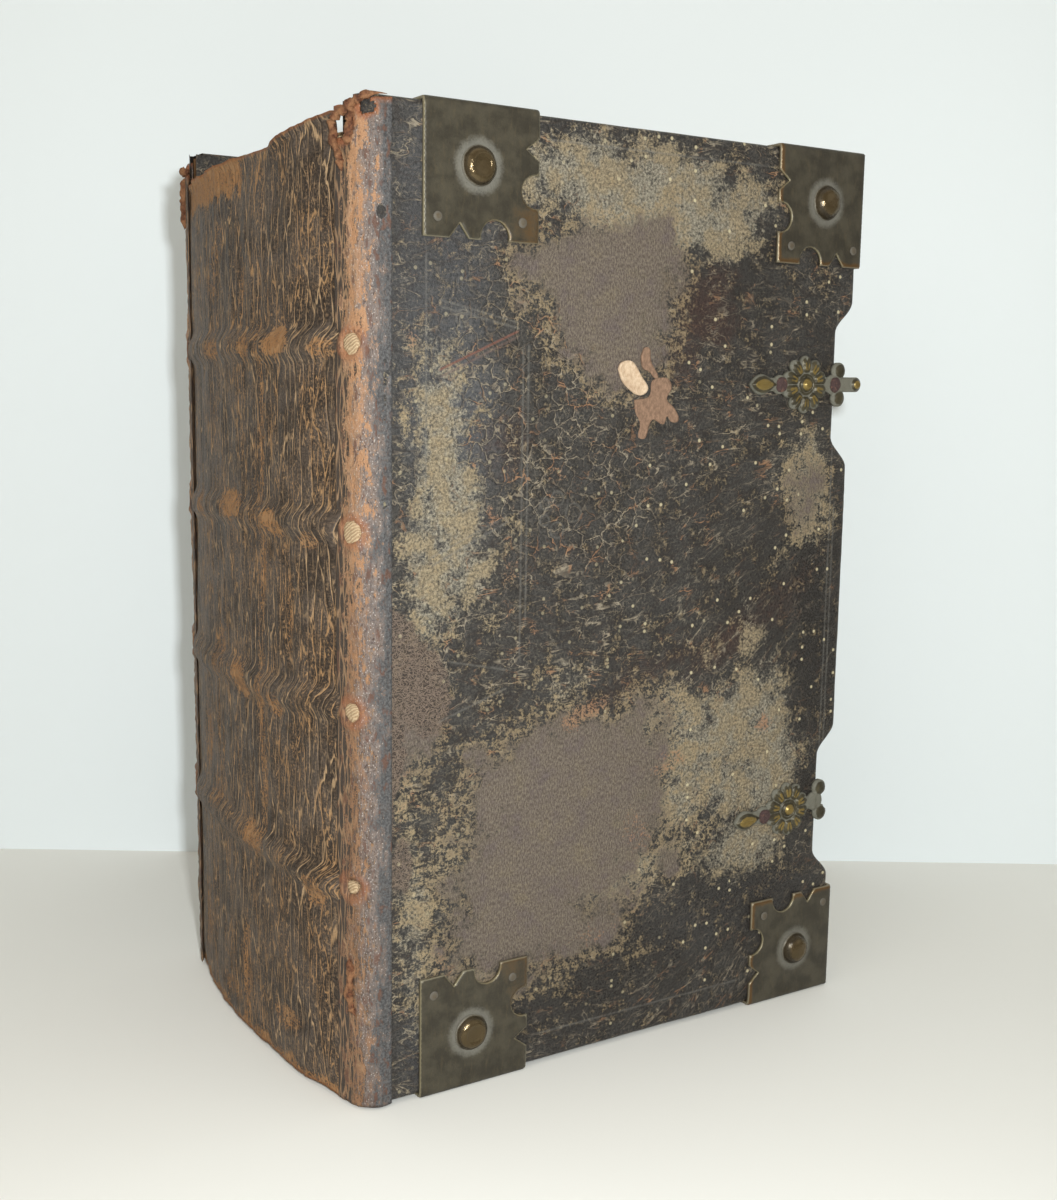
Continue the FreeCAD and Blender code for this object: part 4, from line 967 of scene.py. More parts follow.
raw_lip = lip_finish("raw_lip")
for number, (name, (side, *corners)) in enumerate(LIPS.items()):
    path = smooth_path(corners, 46)
    ends = rise(np.minimum(np.linspace(0, 1, 46), np.linspace(1, 0, 46)), -0.02, 0.12)
    lift = 0.35 + 0.3 * lumps(path[:, 1] * 0.6, path[:, 0] * 9, 1.1, 950 + number)
    middle = joint_place(path[:, 0], path[:, 1], lift, side)
    ahead_of = np.gradient(middle, axis=0)
    ahead_of /= np.linalg.norm(ahead_of, axis=1)[:, None]
    beside = np.cross(ahead_of, np.array([-0.8, 0.6 * side, 0.0]))
    beside /= np.linalg.norm(beside, axis=1)[:, None]
    third = np.cross(ahead_of, beside)
    turn, share = np.meshgrid(np.linspace(0, 2 * math.pi, LIP_TURNS), np.arange(46))
    reach = LIP_RADIUS * ends[share] * (1 + 0.5 * lumps(share * 0.4, np.sin(turn) * 1.5, 1.0, 970 + number))
    points = (middle[share] + (reach * np.cos(turn))[..., None] * beside[share]
              + (reach * np.sin(turn))[..., None] * third[share])
    lip = mesh_piece(name, points, grid_faces(*points.shape[:2]), raw_lip)
    word = "front" if side < 0 else "back"
    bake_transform(lip)


# Cord ends: the four hemp cords that the leaves are sewn to run through tunnels into each board. The
# leather over them has split at the joint, and their cut, frayed ends show there, cream in an orange ring.
CORD_TURNS, CORD_STEPS = 20, 9


def twisted_finish(name, pale, deep):
    """Twisted thread: fine slanting strands, dirty between them."""
    finish, start, place = new_finish(name)
    strands = place.wander(0.8, 0.5).node("TexWave", {"bands_direction": "DIAGONAL"},
                                          {"Vector": place, "Scale": 0.9, "Distortion": 3.0, "Detail": 3.0},
                                          1)
    fine = place.cloud(3.5, 4.0, 0.7)
    colour = (strands * 0.6 + fine * 0.5).clear().tint(deep, pale)
    height = strands * 0.6 + fine * 0.5
    close_finish(start, {"Base Color": colour, "Roughness": 0.75 + fine * 0.15,
                         "Normal": height.relief(0.0002)},
                 {"Specular IOR Level": 0.2})
    return finish


cord_finish = twisted_finish("hemp_cord", linear(198, 176, 144), linear(140, 112, 82))
for word, side in SIDES.items():
    for number, (height, wide) in enumerate(CORD_ENDS.items()):
        turn, level_up = np.meshgrid(np.linspace(0, 2 * math.pi, CORD_TURNS, endpoint=False),
                                     np.linspace(0, 1, CORD_STEPS))
        seed = 120 + 7 * number + side
        fray = 1.12 + 0.14 * lumps(turn * 2, level_up * 3, 0.7, seed)
        fray *= 1 - np.clip((level_up - 0.72) / 0.28, 0, 1)
        axis = Vector((-0.95, side * 0.31, 0)).normalized()
        beside = Vector((-axis.y, axis.x, 0))
        middle = np.array([-60.0, side * 44.9, height])
        out = 0.75 + 1.0 * np.minimum(level_up / 0.8, 1) + 0.1 * lumps(turn * 3, level_up, 0.6, seed)
        reach = wide * fray
        drop = np.where(np.sin(turn) < 0, 1.45 if number == 1 else 1.1, 1.0)
        points = (middle + out[..., None] * np.array(axis)
                  + (reach * np.cos(turn))[..., None] * np.array(beside)
                  + (reach * np.sin(turn) * drop)[..., None] * np.array((0, 0, 1.0)))
        points = np.concatenate([points, points[:, :1]], 1)
        end = mesh_piece(f"{word}_cord_end_{number + 1}", points, grid_faces(*points.shape[:2]),
                         cord_finish)
        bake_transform(end)
    nodes[f"{word}_cord_slips"].data.materials[0] = cord_finish
for number in range(4):
    nodes[f"sewing_cord_{number + 1}"].data.materials[0] = cord_finish


# Corner plates: sheet brass cut with a notch and a half round in each inner side, folded over the
# board's edges and nailed. Dark with tarnish, rubbed brown at the borders, with dust round the bosses.
PLATE_OUT, PLATE_THICK, PLATE_SIDE = 49.4, 0.8, 25.8
PLATE_RUN, VEE_WIDE, VEE_DEEP, TAB_WIDE = 5.7, 4.4, 2.9, 2.6
SCALLOP_ROUND, SCALLOP_IN = 3.2, 0.7
PLATE_BEND, PLATE_FOLD = 0.95, 8.2
PLATE_CORNERS = {"head_spine": (-48.15, 1, 200.0, -1), "head_fore": (66.45, -1, 200.0, -1),
                 "tail_fore": (66.45, -1, 0.0, 1), "tail_spine": (-48.15, 1, 0.0, 1)}
BOSS_INSET = 12.0


def notched_side():
    """One inner side of a plate, from its outer edge to the square tab, as places (along, out)."""
    first_end = PLATE_RUN + VEE_WIDE
    middle = first_end + TAB_WIDE + SCALLOP_ROUND
    start = math.asin(SCALLOP_IN / SCALLOP_ROUND)
    arc = [(middle - SCALLOP_ROUND * math.cos(turn),
            PLATE_SIDE - SCALLOP_IN - SCALLOP_ROUND * math.sin(turn))
           for turn in np.linspace(-start, math.pi + start, 22)]
    return [(PLATE_RUN, PLATE_SIDE), (PLATE_RUN + VEE_WIDE / 2, PLATE_SIDE - VEE_DEEP),
            (first_end, PLATE_SIDE)] + arc


def dense_edge(corners, step):
    """The same closed outline, with points no further apart than step."""
    points = []
    for start, end in zip(corners, corners[1:] + corners[:1]):
        count = max(1, int(math.dist(start, end) / step))
        points += [tuple(np.array(start) + (np.array(end) - np.array(start)) * n / count)
                   for n in range(count)]
    return points


def edge_distance(points, outline):
    """Distance from each point to the outline, and whether the point lies inside it."""
    starts = np.array(outline)
    ends = np.roll(starts, -1, axis=0)
    nearest = np.full(len(points), 1e9)
    inside = np.zeros(len(points), bool)
    for start, end in zip(starts, ends):
        run = end - start
        share = np.clip(((points - start) @ run) / (run @ run), 0, 1)
        nearest = np.minimum(nearest, np.linalg.norm(points - start - share[:, None] * run, axis=1))
        crosses = (start[1] > points[:, 1]) != (end[1] > points[:, 1])
        rise_y = np.where(abs(run[1]) < 1e-9, 1e-9, run[1])
        inside ^= crosses & (points[:, 0] < start[0] + (points[:, 1] - start[1]) * run[0] / rise_y)
    return nearest, inside


def sheet_points(corners, step):
    """Points and triangles that fill an outline, border first, and each point's distance to the border."""
    border = dense_edge(corners, step)
    outline = np.array(border)
    low, high = outline.min(0), outline.max(0)
    across, up = np.meshgrid(np.arange(low[0], high[0], step), np.arange(low[1], high[1], step * 0.87))
    across[::2] += step / 2
    inner = np.stack([across.ravel(), up.ravel()], -1)
    distance, inside = edge_distance(inner, border)
    inner = inner[inside & (distance > step * 0.45)]
    every = np.concatenate([outline, inner])
    loop = list(range(len(border)))
    made, _, triangles, *_ = delaunay_2d_cdt([Vector(point) for point in every], [], [loop], 1, 1e-5)
    points = np.array([tuple(point) for point in made])
    return points, np.array([tuple(face) for face in triangles]), edge_distance(points, border)[0]


def thick_sheet(triangles, top, bottom):
    """A closed solid from a sheet's triangles and the places of its two faces."""
    count = len(top)
    edges = np.concatenate([triangles[:, [0, 1]], triangles[:, [1, 2]], triangles[:, [2, 0]]])
    known = {tuple(edge) for edge in edges.tolist()}
    border = np.array([edge for edge in edges.tolist() if (edge[1], edge[0]) not in known])
    walls = np.concatenate([np.stack([border[:, 1], border[:, 0], border[:, 0] + count], -1),
                            np.stack([border[:, 1], border[:, 0] + count, border[:, 1] + count], -1)])
    return np.concatenate([top, bottom]), np.concatenate([triangles, triangles[:, ::-1] + count, walls])


def brass_finish(name, dark, light, gilt, dust_colour, shine=0.35, dull=0.42):
    """Tarnished brass: mottled dark, rubbed to brown gold at its borders, pale dust where it settles."""
    finish, start, place = new_finish(name)
    border, dust, rub = field(start, "border"), field(start, "dust"), field(start, "rub")
    fine = place.cloud(2.6, 4.0, 0.65)
    blotch = place.cloud(0.22, 4.0, 0.6)
    streak = place.stretch(1.0, 1.0, 0.25).cloud(1.4, 4.0, 0.7)
    metal = (blotch.ease(0.35, 0.65) * 0.6 + fine * 0.4).tint(dark, light)
    metal = (streak.ease(0.5, 0.75) * 0.3).tint(metal, linear(96, 84, 60))
    rubbed = (rub + border * 0.25 + (blotch - 0.5) * 0.8 + (fine - 0.5) * 0.3).ease(0.35, 0.8)
    metal = (rubbed * 0.75).tint(metal, gilt)
    metal = (border.ease(0.55, 0.95) * 0.5).tint(metal, linear(158, 148, 118))
    dusty = (dust + (fine - 0.5) * 0.5 + (blotch - 0.5) * 0.3).ease(0.3, 0.85)
    metal = (dusty * 0.8).tint(metal, dust_colour)
    pits = place.spots(0.8).ease(0.12, 0.05)
    metal = (pits * 0.4).tint(metal, linear(40, 36, 28))
    height = fine * 0.35 + blotch * 0.2
    roughness = (dull + dusty * 0.35 + (fine - 0.5) * 0.25 - rubbed * 0.08).clear()
    close_finish(start, {"Base Color": metal, "Roughness": roughness,
                         "Metallic": (shine + rubbed * 0.25 - dusty * shine).clear(),
                         "Normal": height.relief(0.00012)}, {"Specular IOR Level": 0.5})
    return finish


corner_brass = brass_finish("corner_brass", linear(46, 42, 34), linear(78, 73, 60), linear(104, 76, 42),
                            linear(112, 110, 102))


def corner_plate(word, side, corner):
    corner_x, way_x, corner_z, way_z = PLATE_CORNERS[corner]
    inner = notched_side()
    top_side = [(along, out) for along, out in inner]
    right_side = [(out, along) for along, out in inner]
    low_a = -PLATE_FOLD if way_x < 0 else 0.0
    corners = [(0.0, -PLATE_FOLD), (PLATE_SIDE, -PLATE_FOLD)] + right_side + [(PLATE_SIDE, PLATE_SIDE)]
    corners += top_side[::-1] + [(low_a, PLATE_SIDE)]
    if way_x < 0:
        corners += [(low_a, 0.0), (0.0, 0.0)]
    places, triangles, distance = sheet_points(corners, 0.62)
    a, b = places[:, 0], places[:, 1]
    seed = 200 + len(corner) * 3 + side + way_x * 5 + way_z * 9
    dent = 0.10 * rough(a, b, 9, seed) + 0.03 * lumps(a, b, 1.6, seed + 1)
    on_face = rise(np.minimum(a if way_x < 0 else b, b), 0.5, 2.5)
    notch_side = rise(np.maximum(a, b), PLATE_SIDE - 2.5, PLATE_SIDE)
    curl = 0.18 * notch_side * (0.5 + lumps(a, b, 6, seed + 2)) * (np.minimum(a, b) > 0)
    bend_a = np.clip((PLATE_BEND - a) / PLATE_BEND, 0, math.pi / 2) * (way_x < 0)
    bend_b = np.clip((PLATE_BEND - b) / PLATE_BEND, 0, math.pi / 2)
    boss_away = np.hypot(a - BOSS_INSET, b - BOSS_INSET)

    def laid(height):
        """The plate bent over the board's edges, its skin height outside the plain outer face."""
        deep = np.zeros(len(a))
        flat = []
        for along, bend in ((a, bend_a), (b, bend_b)):
            bent = PLATE_BEND * (1 - np.sin(bend))
            past = np.maximum(PLATE_BEND * (1 - math.pi / 2) - along, 0) * (bend > 0)
            flat.append(np.where(bend > 0, bent, along) - height * np.sin(bend))
            deep = np.maximum(deep, PLATE_BEND * (1 - np.cos(bend)) + past)
        out = PLATE_OUT - deep + height * np.cos(np.maximum(bend_a, bend_b))
        return np.stack([corner_x + way_x * flat[0], side * out, corner_z + way_z * flat[1]], -1)

    soft_edge = 0.16 * (1 - rise(distance, 0, 0.5))
    top = laid((dent + curl) * on_face - soft_edge - 0.02)
    bottom = laid(np.full(len(a), -PLATE_THICK) + np.maximum(curl, 0) * on_face)
    points, faces = thick_sheet(triangles, top, bottom)
    if way_x * way_z * side > 0:
        faces = faces[:, ::-1]
    halo = 0.75 * rise(-boss_away, -7.6, -4.0)
    scallop_dust = rise(-distance, -0.9, -0.1) * notch_side * 0.55
    brown = notch_side * 0.8 * (way_x < 0) + 0.5 * rise(a, 8, 24) * rise(b, 4, 22) * (way_x > 0)
    plate = mesh_piece(f"{word}_plate_{corner}_brass", points, faces, corner_brass,
                       {"border": both(1 - rise(distance, 0.1, 0.6)),
                        "dust": both(np.maximum(halo, scallop_dust)),
                        "rub": both(brown)})
    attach(plate, f"{word}_cover")
    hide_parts(f"{word}_plate_{corner}")


for word, side in SIDES.items():
    for corner in PLATE_CORNERS:
        corner_plate(word, side, corner)


# Bosses: cast brass studs driven through the plates. The two by the spine are worn flat with a bright
# rim, the two by the fore-edge keep their dome.
DOMED = ((3.85, 0.0), (3.9, 0.22), (3.78, 0.42), (3.62, 0.5), (3.5, 0.86), (3.2, 1.4), (2.7, 1.92),
         (2.0, 2.36),
         (1.1, 2.6), (0.0, 2.66))
WORN = ((3.85, 0.0), (3.9, 0.22), (3.76, 0.4), (3.6, 0.48), (3.45, 0.85), (3.15, 1.3), (2.72, 1.66),
        (2.3, 1.84),
        (2.05, 1.86), (1.7, 1.72), (0.9, 1.6), (0.0, 1.58))
TURN_STEPS = 56


def turned(name, middle, side, profile, finish, seed=0, wobble=0.0):
    """A stud turned about a line square to the cover: profile gives radius and height from its seat."""
    path = smooth_path(profile, 30)
    turn = np.linspace(0, 2 * math.pi, TURN_STEPS, endpoint=False)
    radius, turn = np.meshgrid(path[:, 0], turn)
    height, _ = np.meshgrid(path[:, 1], turn[:, 0])
    uneven = 1 + wobble * rough(radius * np.cos(turn), radius * np.sin(turn), 1.6, 300 + seed)
    uneven_height = height * (1 + wobble
                              * rough(radius * np.cos(turn), radius * np.sin(turn), 1.1, 330 + seed))
    points = np.stack([middle[0] + radius * uneven * np.cos(turn), side * (middle[1] + uneven_height),
                       middle[2] + radius * uneven * np.sin(turn)], -1)
    points = np.concatenate([points, points[:1]], 0)
    faces = grid_faces(*points.shape[:2])
    if side > 0:
        faces = faces[:, ::-1]
    high = height.max()
    share = np.concatenate([height, height[:1]], 0)
    fields = {"border": 0 * share, "dust": rise(-share, -0.75, -0.15),
              "rub": rise(share, 0.35 * high, high)}
    return mesh_piece(name, points, faces, finish, fields)


boss_brass = brass_finish("boss_brass", linear(44, 37, 27), linear(72, 62, 45), linear(96, 82, 58),
                          linear(104, 101, 91), shine=0.5, dull=0.3)
for word, side in SIDES.items():
    for corner, (corner_x, way_x, corner_z, way_z) in PLATE_CORNERS.items():
        middle = (corner_x + way_x * BOSS_INSET, PLATE_OUT - 0.08, corner_z + way_z * BOSS_INSET)
        stud = turned(f"{word}_boss_{corner}_brass", middle, side, WORN if way_x > 0 else DOMED, boss_brass,
                      seed=len(corner), wobble=0.03)
        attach(stud, f"{word}_cover")
        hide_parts(f"{word}_boss_{corner}")


# Nails: small hand-made brass nails with flat domed heads, two through each corner plate and two
# through each plain clasp plate of the back cover.
NAIL_PROFILE = ((0.95, 0.0), (0.95, 0.12), (0.82, 0.27), (0.5, 0.37), (0.0, 0.4))
NAIL_PLACES = ((22.0, 22.0), (3.0, 22.0))
ANCHOR_NAILS_X, CATCH_HEIGHTS = (46.45, 55.45), {"upper": 147.5, "lower": 47.5}
nail_brass = brass_finish("nail_brass", linear(46, 40, 32), linear(74, 67, 56), linear(96, 78, 50),
                          linear(96, 92, 84), dull=0.45)


def join_pieces(name, pieces):
    """Makes one piece of several."""
    with bpy.context.temp_override(active_object=pieces[0], selected_editable_objects=pieces):
        bpy.ops.object.join()
    pieces[0].name = name
    return pieces[0]


for word, side in SIDES.items():
    heads = []
    for corner, (corner_x, way_x, corner_z, way_z) in PLATE_CORNERS.items():
        for along, up_in in NAIL_PLACES:
            middle = (corner_x + way_x * along, PLATE_OUT - 0.03, corner_z + way_z * up_in)
            heads.append(turned("nail", middle, side, NAIL_PROFILE, nail_brass, len(heads), 0.08))
    nails = join_pieces(f"{word}_nail_heads", heads)
    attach(nails, f"{word}_cover")
    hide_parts(f"{word}_corner_nails")


# Flake: scraps of a torn paper label left on the front cover, cream on top and tan below, with lifted,
# ragged edges.
CREAM_SCRAP = [(-1.6, 150.1), (-1.0, 151.4), (1.1, 151.9), (2.6, 150.9), (4.2, 148.7), (6.0, 146.6),
               (5.5, 145.2),
               (3.7, 144.7), (1.5, 145.8), (-0.6, 147.7)]
TAN_SCRAP = [(2.8, 143.7), (6.7, 144.5), (7.5, 147.8), (11.2, 148.4), (12.5, 146.4), (11.3, 144.0),
             (13.3, 142.1),
             (14.6, 140.1), (14.3, 139.1), (12.8, 139.1), (11.5, 140.4), (10.6, 138.6), (9.2, 139.1),
             (7.8, 139.7),
             (6.9, 138.7), (5.8, 135.7), (4.0, 136.0), (4.5, 138.7), (3.2, 141.1)]
STRIP_SCRAP = [(4.3, 153.0), (5.2, 154.7), (6.4, 154.3), (6.8, 151.7), (8.8, 148.8), (8.1, 148.3),
               (6.5, 149.7),
               (5.0, 150.2), (4.4, 151.6)]


def scrap_finish(name, pale, deep):
    """Torn, soiled paper: felted fibres and faint stains."""
    finish, start, place = new_finish(name)
    fibre, fine = place.stretch(1, 1, 0.6).cloud(1.6, 5.0, 0.7), place.cloud(4.5, 3.0, 0.7)
    sheet = fibre.ease(0.3, 0.7).tint(deep, pale)
    sheet = (fine.ease(0.55, 0.75) * 0.3).tint(sheet, deep)
    close_finish(start, {"Base Color": sheet, "Roughness": 0.85 + fine * 0.1,
                         "Normal": (fibre * 0.7 + fine * 0.4).relief(0.0002)}, {"Specular IOR Level": 0.15})
    return finish


cream_paper = scrap_finish("cream_scrap", linear(206, 184, 158), linear(176, 150, 124))
tan_paper = scrap_finish("tan_scrap", linear(146, 118, 98), linear(112, 90, 75))
for number, (outline, paper, proud) in enumerate(((CREAM_SCRAP, cream_paper, 0.5),
                                                  (TAN_SCRAP, tan_paper, 0.28),
                                                  (STRIP_SCRAP, tan_paper, 0.34))):
    rounded = [tuple(place) for place in smooth_path(outline + outline[:1], len(outline) * 5)[:-1]]
    places, triangles, distance = sheet_points(rounded, 0.42)
    a, b = places[:, 0], places[:, 1]
    ground = 0.22 * rough(a, b, 34, 19) + 0.07 * rough(a, b, 7, 20)
    height = (ground + proud * (0.55 + 0.45 * rise(-distance, -1.2, 0))
              + 0.05 * lumps(a, b, 1.1, 640 + number))
    top = np.stack([a, -(FACE_Y + height), b], -1)
    bottom = np.stack([a, -(FACE_Y + ground - 0.35), b], -1)
    points, faces = thick_sheet(triangles, top, bottom)
    scrap = mesh_piece(f"front_scrap_{number + 1}", points, faces, paper)
    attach(scrap, "front_cover")


# Catches: two cast brass plates on the front cover that the lost clasps hooked over. Each has a leaf
# tip, a flower of ten petals with a ringed middle, two side lobes and a tongue. The lower one has
# broken off at its outer rivet hole. Iron rivets with rusty, purple brown heads hold them.
FLOWER_X, TIP_X, RIVET_X, HOLE_X, LOBE_X, TONGUE_END = 50.45, 34.15, 43.05, 59.35, 60.85, 67.95
CATCH_STEP, CATCH_THICK = 0.19, 1.0
RIVET_PROFILE = ((1.55, 0.0), (1.6, 0.2), (1.4, 0.5), (0.9, 0.72), (0.0, 0.78))
catch_brass = brass_finish("catch_brass", linear(42, 38, 27), linear(80, 74, 56), linear(146, 124, 70),
                           linear(106, 105, 95), shine=0.45, dull=0.4)


def catch_form(a, b, whole):
    """How far inside the casting each place lies, and its height. a runs from the flower to the edge."""
    radius, turn = np.hypot(a, b), np.arctan2(b, a)
    petal = np.abs(np.sin(turn * 5))
    flower = 4.75 + 1.75 * petal ** 0.55 - radius
    tip_a = a - (TIP_X - FLOWER_X)
    leaf = np.minimum(2.25 * np.sin(np.clip(tip_a / 7.2, 0, 1) ** 0.8 * math.pi * 0.93) - np.abs(b),
                      np.minimum(tip_a, 7.4 - tip_a) + 0.6)
    neck = np.minimum(1.5 - np.abs(b), np.minimum(a + 12, LOBE_X - FLOWER_X - a))
    eye = 2.15 - np.hypot(a - (RIVET_X - FLOWER_X), b)
    outer_eye = 2.3 - np.hypot(a - (HOLE_X - FLOWER_X), b)
    lobes = 1.95 - np.hypot(a - (LOBE_X - FLOWER_X), np.abs(b) - 3.1)
    inside = np.max([flower, leaf, neck, eye, outer_eye, lobes], axis=0)
    if whole:
        tongue = np.minimum(1.7 - np.abs(b), np.minimum(a - 7, TONGUE_END - 1.7 - FLOWER_X - a))
        inside = np.max([inside, tongue, 1.7 - np.hypot(a - (TONGUE_END - 1.7 - FLOWER_X), b)], axis=0)
    else:
        bite = 2.1 - np.hypot(a - (HOLE_X - FLOWER_X + 4.6), b + 0.9)
        inside = np.minimum(inside, -bite)
    height = CATCH_THICK * rise(inside, -0.15, 0.35)
    vein = np.abs(np.mod(turn * 5 / math.pi, 1) - 0.5) * 2
    leaf_rise = 0.75 * petal ** 0.8 * rise(radius, 2.4, 3.4) * rise(-radius, -6.6, -4.6)
    leaf_rise -= 0.3 * rise(-vein, -0.28, 0) * rise(radius, 2.6, 4.2) * rise(flower, 0, 0.6)
    height += leaf_rise * (flower > 0)
    height += 1.25 * rise(-radius, -2.0, -0.6) + 0.5 * rise(-np.abs(radius - 2.15), -0.4, 0)
    height += 0.9 * rise(leaf, 0, 1.7) * (1 - 0.25 * rise(-np.abs(b), -0.35, 0))
    height += 0.45 * rise(lobes, 0, 1.4)
    if whole:
        height += 0.9 * rise(1.7 - np.hypot(a - (TONGUE_END - 1.9 - FLOWER_X), b), 0, 1.2)
    return inside, height


def catch_plate(which, tilt, whole):
    a, b = np.meshgrid(np.arange(-17.2, 18.2, CATCH_STEP), np.arange(-7.4, 7.4, CATCH_STEP))
    inside, _ = catch_form(a, b, whole)
    kept = (inside[:-1, :-1] + inside[1:, :-1] + inside[:-1, 1:] + inside[1:, 1:]) > 0
    used, spare = np.zeros(a.shape, bool), np.zeros(a.shape, bool)
    for rows in (slice(None, -1), slice(1, None)):
        for columns in (slice(None, -1), slice(1, None)):
            used[rows, columns] |= kept
            spare[rows, columns] |= ~kept
    border = used & spare
    for _ in range(3):
        inside, _ = catch_form(a, b, whole)
        slope_b, slope_a = np.gradient(inside, CATCH_STEP)
        slope = np.maximum(slope_a ** 2 + slope_b ** 2, 0.3)
        a = np.where(border, a - np.clip(inside * slope_a / slope, -0.1, 0.1), a)
        b = np.where(border, b - np.clip(inside * slope_b / slope, -0.1, 0.1), b)
    inside, height = catch_form(a, b, whole)
    seed = 400 + int(whole)
    height = np.where(border, 0.72,
                      height + 0.1 * rough(a, b, 2.2, seed) + 0.05 * lumps(a, b, 0.6, seed + 4))
    turn = math.radians(tilt)
    x = FLOWER_X + a * math.cos(turn) - b * math.sin(turn)
    z = CATCH_HEIGHTS[which] + a * math.sin(turn) + b * math.cos(turn)
    top = np.stack([x, -(FACE_Y + height), z], -1)
    bottom = np.stack([x, -(FACE_Y - 0.12) + 0 * height, z], -1)
    points, faces = closed_skin(top, bottom, kept)
    relief = height - CATCH_THICK
    piece = mesh_piece(f"front_catch_{which}_brass", points, faces, catch_brass,
                       {"border": both(0.6 * rise(-inside, -0.5, 0)),
                        "dust": both(rise(-relief, -0.32, 0.05)),
                        "rub": both(rise(relief, 0.3, 0.8))})
    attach(piece, "front_cover")
    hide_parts(f"front_catch_{which}")
    return math.cos(turn), math.sin(turn)


catch_lean = {"upper": catch_plate("upper", 0.6, True), "lower": catch_plate("lower", 4.5, False)}


def rust_finish(name):
    """Corroded iron, dark purple brown with orange specks."""
    finish, start, place = new_finish(name)
    fine = place.cloud(2.8, 4.0, 0.7)
    blotch = place.cloud(0.9, 3.0)
    rust = fine.tint(linear(44, 30, 30), linear(84, 62, 60))
    rust = (blotch.ease(0.5, 0.7) * 0.7).tint(rust, linear(120, 86, 70))
    height = fine * 0.8 + blotch * 0.6
    close_finish(start, {"Base Color": rust, "Roughness": 0.55 + fine * 0.3,
                         "Normal": height.relief(0.0004)},
                 {"Specular IOR Level": 0.4})
    return finish


rivet_iron = rust_finish("rivet_iron")
rivets = []
for which, along in (("upper", RIVET_X - FLOWER_X), ("lower", RIVET_X - FLOWER_X),
                     ("upper", HOLE_X - FLOWER_X)):
    lean_cos, lean_sin = catch_lean[which]
    middle = (FLOWER_X + along * lean_cos, FACE_Y + CATCH_THICK - 0.05,
              CATCH_HEIGHTS[which] + along * lean_sin)
    rivets.append(turned("rivet", middle, -1, RIVET_PROFILE, rivet_iron, 60 + len(rivets), 0.22))
rivet_heads = join_pieces("front_rivet_heads", rivets)
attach(rivet_heads, "front_cover")
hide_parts("front_catch_rivets")


# Clasp plates: two plain brass plates on the back cover, which held the straps of the lost clasps.
ANCHOR_X, ANCHOR_LONG, ANCHOR_HALF = 42.45, 17.0, 6.0
clasp_corners = [(0.0, -ANCHOR_HALF + 1.2), (1.2, -ANCHOR_HALF), (ANCHOR_LONG, -ANCHOR_HALF),
                 (ANCHOR_LONG, ANCHOR_HALF), (1.2, ANCHOR_HALF), (0.0, ANCHOR_HALF - 1.2)]
for number, (which, height) in enumerate(CATCH_HEIGHTS.items()):
    places, triangles, distance = sheet_points(clasp_corners, 0.5)
    a, b = places[:, 0], places[:, 1]
    rise_up = -0.18 * (1 - rise(distance, 0, 0.5)) - 0.14 * rise(-np.abs(distance - 1.3), -0.4, 0)
    rise_up += 0.07 * rough(a, b, 5, 500 + number) - 0.02
    top = np.stack([ANCHOR_X + a, PLATE_OUT + rise_up, height + b], -1)
    bottom = np.stack([ANCHOR_X + a, PLATE_OUT - PLATE_THICK + 0 * a, height + b], -1)
    points, faces = thick_sheet(triangles, top, bottom)
    nail_dust = np.zeros(len(a))
    for nail_x in ANCHOR_NAILS_X:
        nail_dust = np.maximum(nail_dust, rise(-np.hypot(ANCHOR_X + a - nail_x, b), -2.4, -1.0))
    clasp = mesh_piece(f"back_clasp_{which}_brass", points, faces[:, ::-1], catch_brass,
                       {"border": both(1 - rise(distance, 0.1, 0.6)), "dust": both(nail_dust),
                        "rub": both(0.5 * rise(-np.abs(distance - 2.5), -2, 0))})
    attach(clasp, "back_cover")
    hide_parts(f"back_clasp_plate_{which}")
clasp_nails = join_pieces("back_clasp_nail_heads", [
    turned("nail", (nail_x, PLATE_OUT - 0.03, height), 1, NAIL_PROFILE, nail_brass, 40, 0.08)
    for nail_x in ANCHOR_NAILS_X for height in CATCH_HEIGHTS.values()])
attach(clasp_nails, "back_cover")
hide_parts("back_clasp_nails")


# Text block: some hundreds of rag-paper leaves in sewn gatherings, with browned, dusty edges. It has
# sagged to the tail, and its fore-edge is hollow, the counterpart of the rounded back.
BLOCK_LOW, BLOCK_HIGH, BLOCK_HALF, SHOULDER_HALF, SHOULDER_X = 2.0, 192.0, 39.8, 43.4, -59.85
BLOCK_FORE_X, FORE_HOLLOW = 60.45, 4.5
GATHERINGS = 26


def paper_edge_finish(name):
    """Cut edges of old leaves: fine lines along the leaves, brown and dusty, darker between gatherings."""
    finish, start, place = new_finish(name)
    leaf, gathering = field(start, "leaf"), field(start, "gathering")
    runs = start.node("CombineXYZ", {}, {0: leaf * 95.0, 1: 0.0, 2: 0.0})
    slow = place.stretch(0.05, 0.0, 0.05)
    lines = runs.shift(slow).cloud(1.0, 3.0, 0.8)
    broad = runs.stretch(0.12, 0, 0).shift(place.stretch(0.02, 0.0, 0.02)).cloud(1.0, 2.0)
    fine = place.cloud(2.0, 4.0, 0.7)
    stain = place.cloud(0.05, 3.0, 0.6)
    paper = lines.ease(0.3, 0.7).tint(linear(112, 92, 66), linear(196, 178, 144))
    paper = (broad.ease(0.55, 0.7) * 0.35).tint(paper, linear(120, 96, 66))
    paper = (stain.ease(0.5, 0.7) * 0.4).tint(paper, linear(104, 82, 58))
    paper = (gathering * 0.65).tint(paper, linear(70, 54, 38))
    paper = (fine.ease(0.55, 0.75) * 0.25).tint(paper, linear(90, 76, 58))
    height = lines * 0.8 + fine * 0.2 - gathering * 0.6
    close_finish(start, {"Base Color": paper, "Roughness": 0.85 + fine * 0.1,
                         "Normal": height.relief(0.0002)},
                 {"Specular IOR Level": 0.15})
    return finish


paper_edges = paper_edge_finish("page_edges")


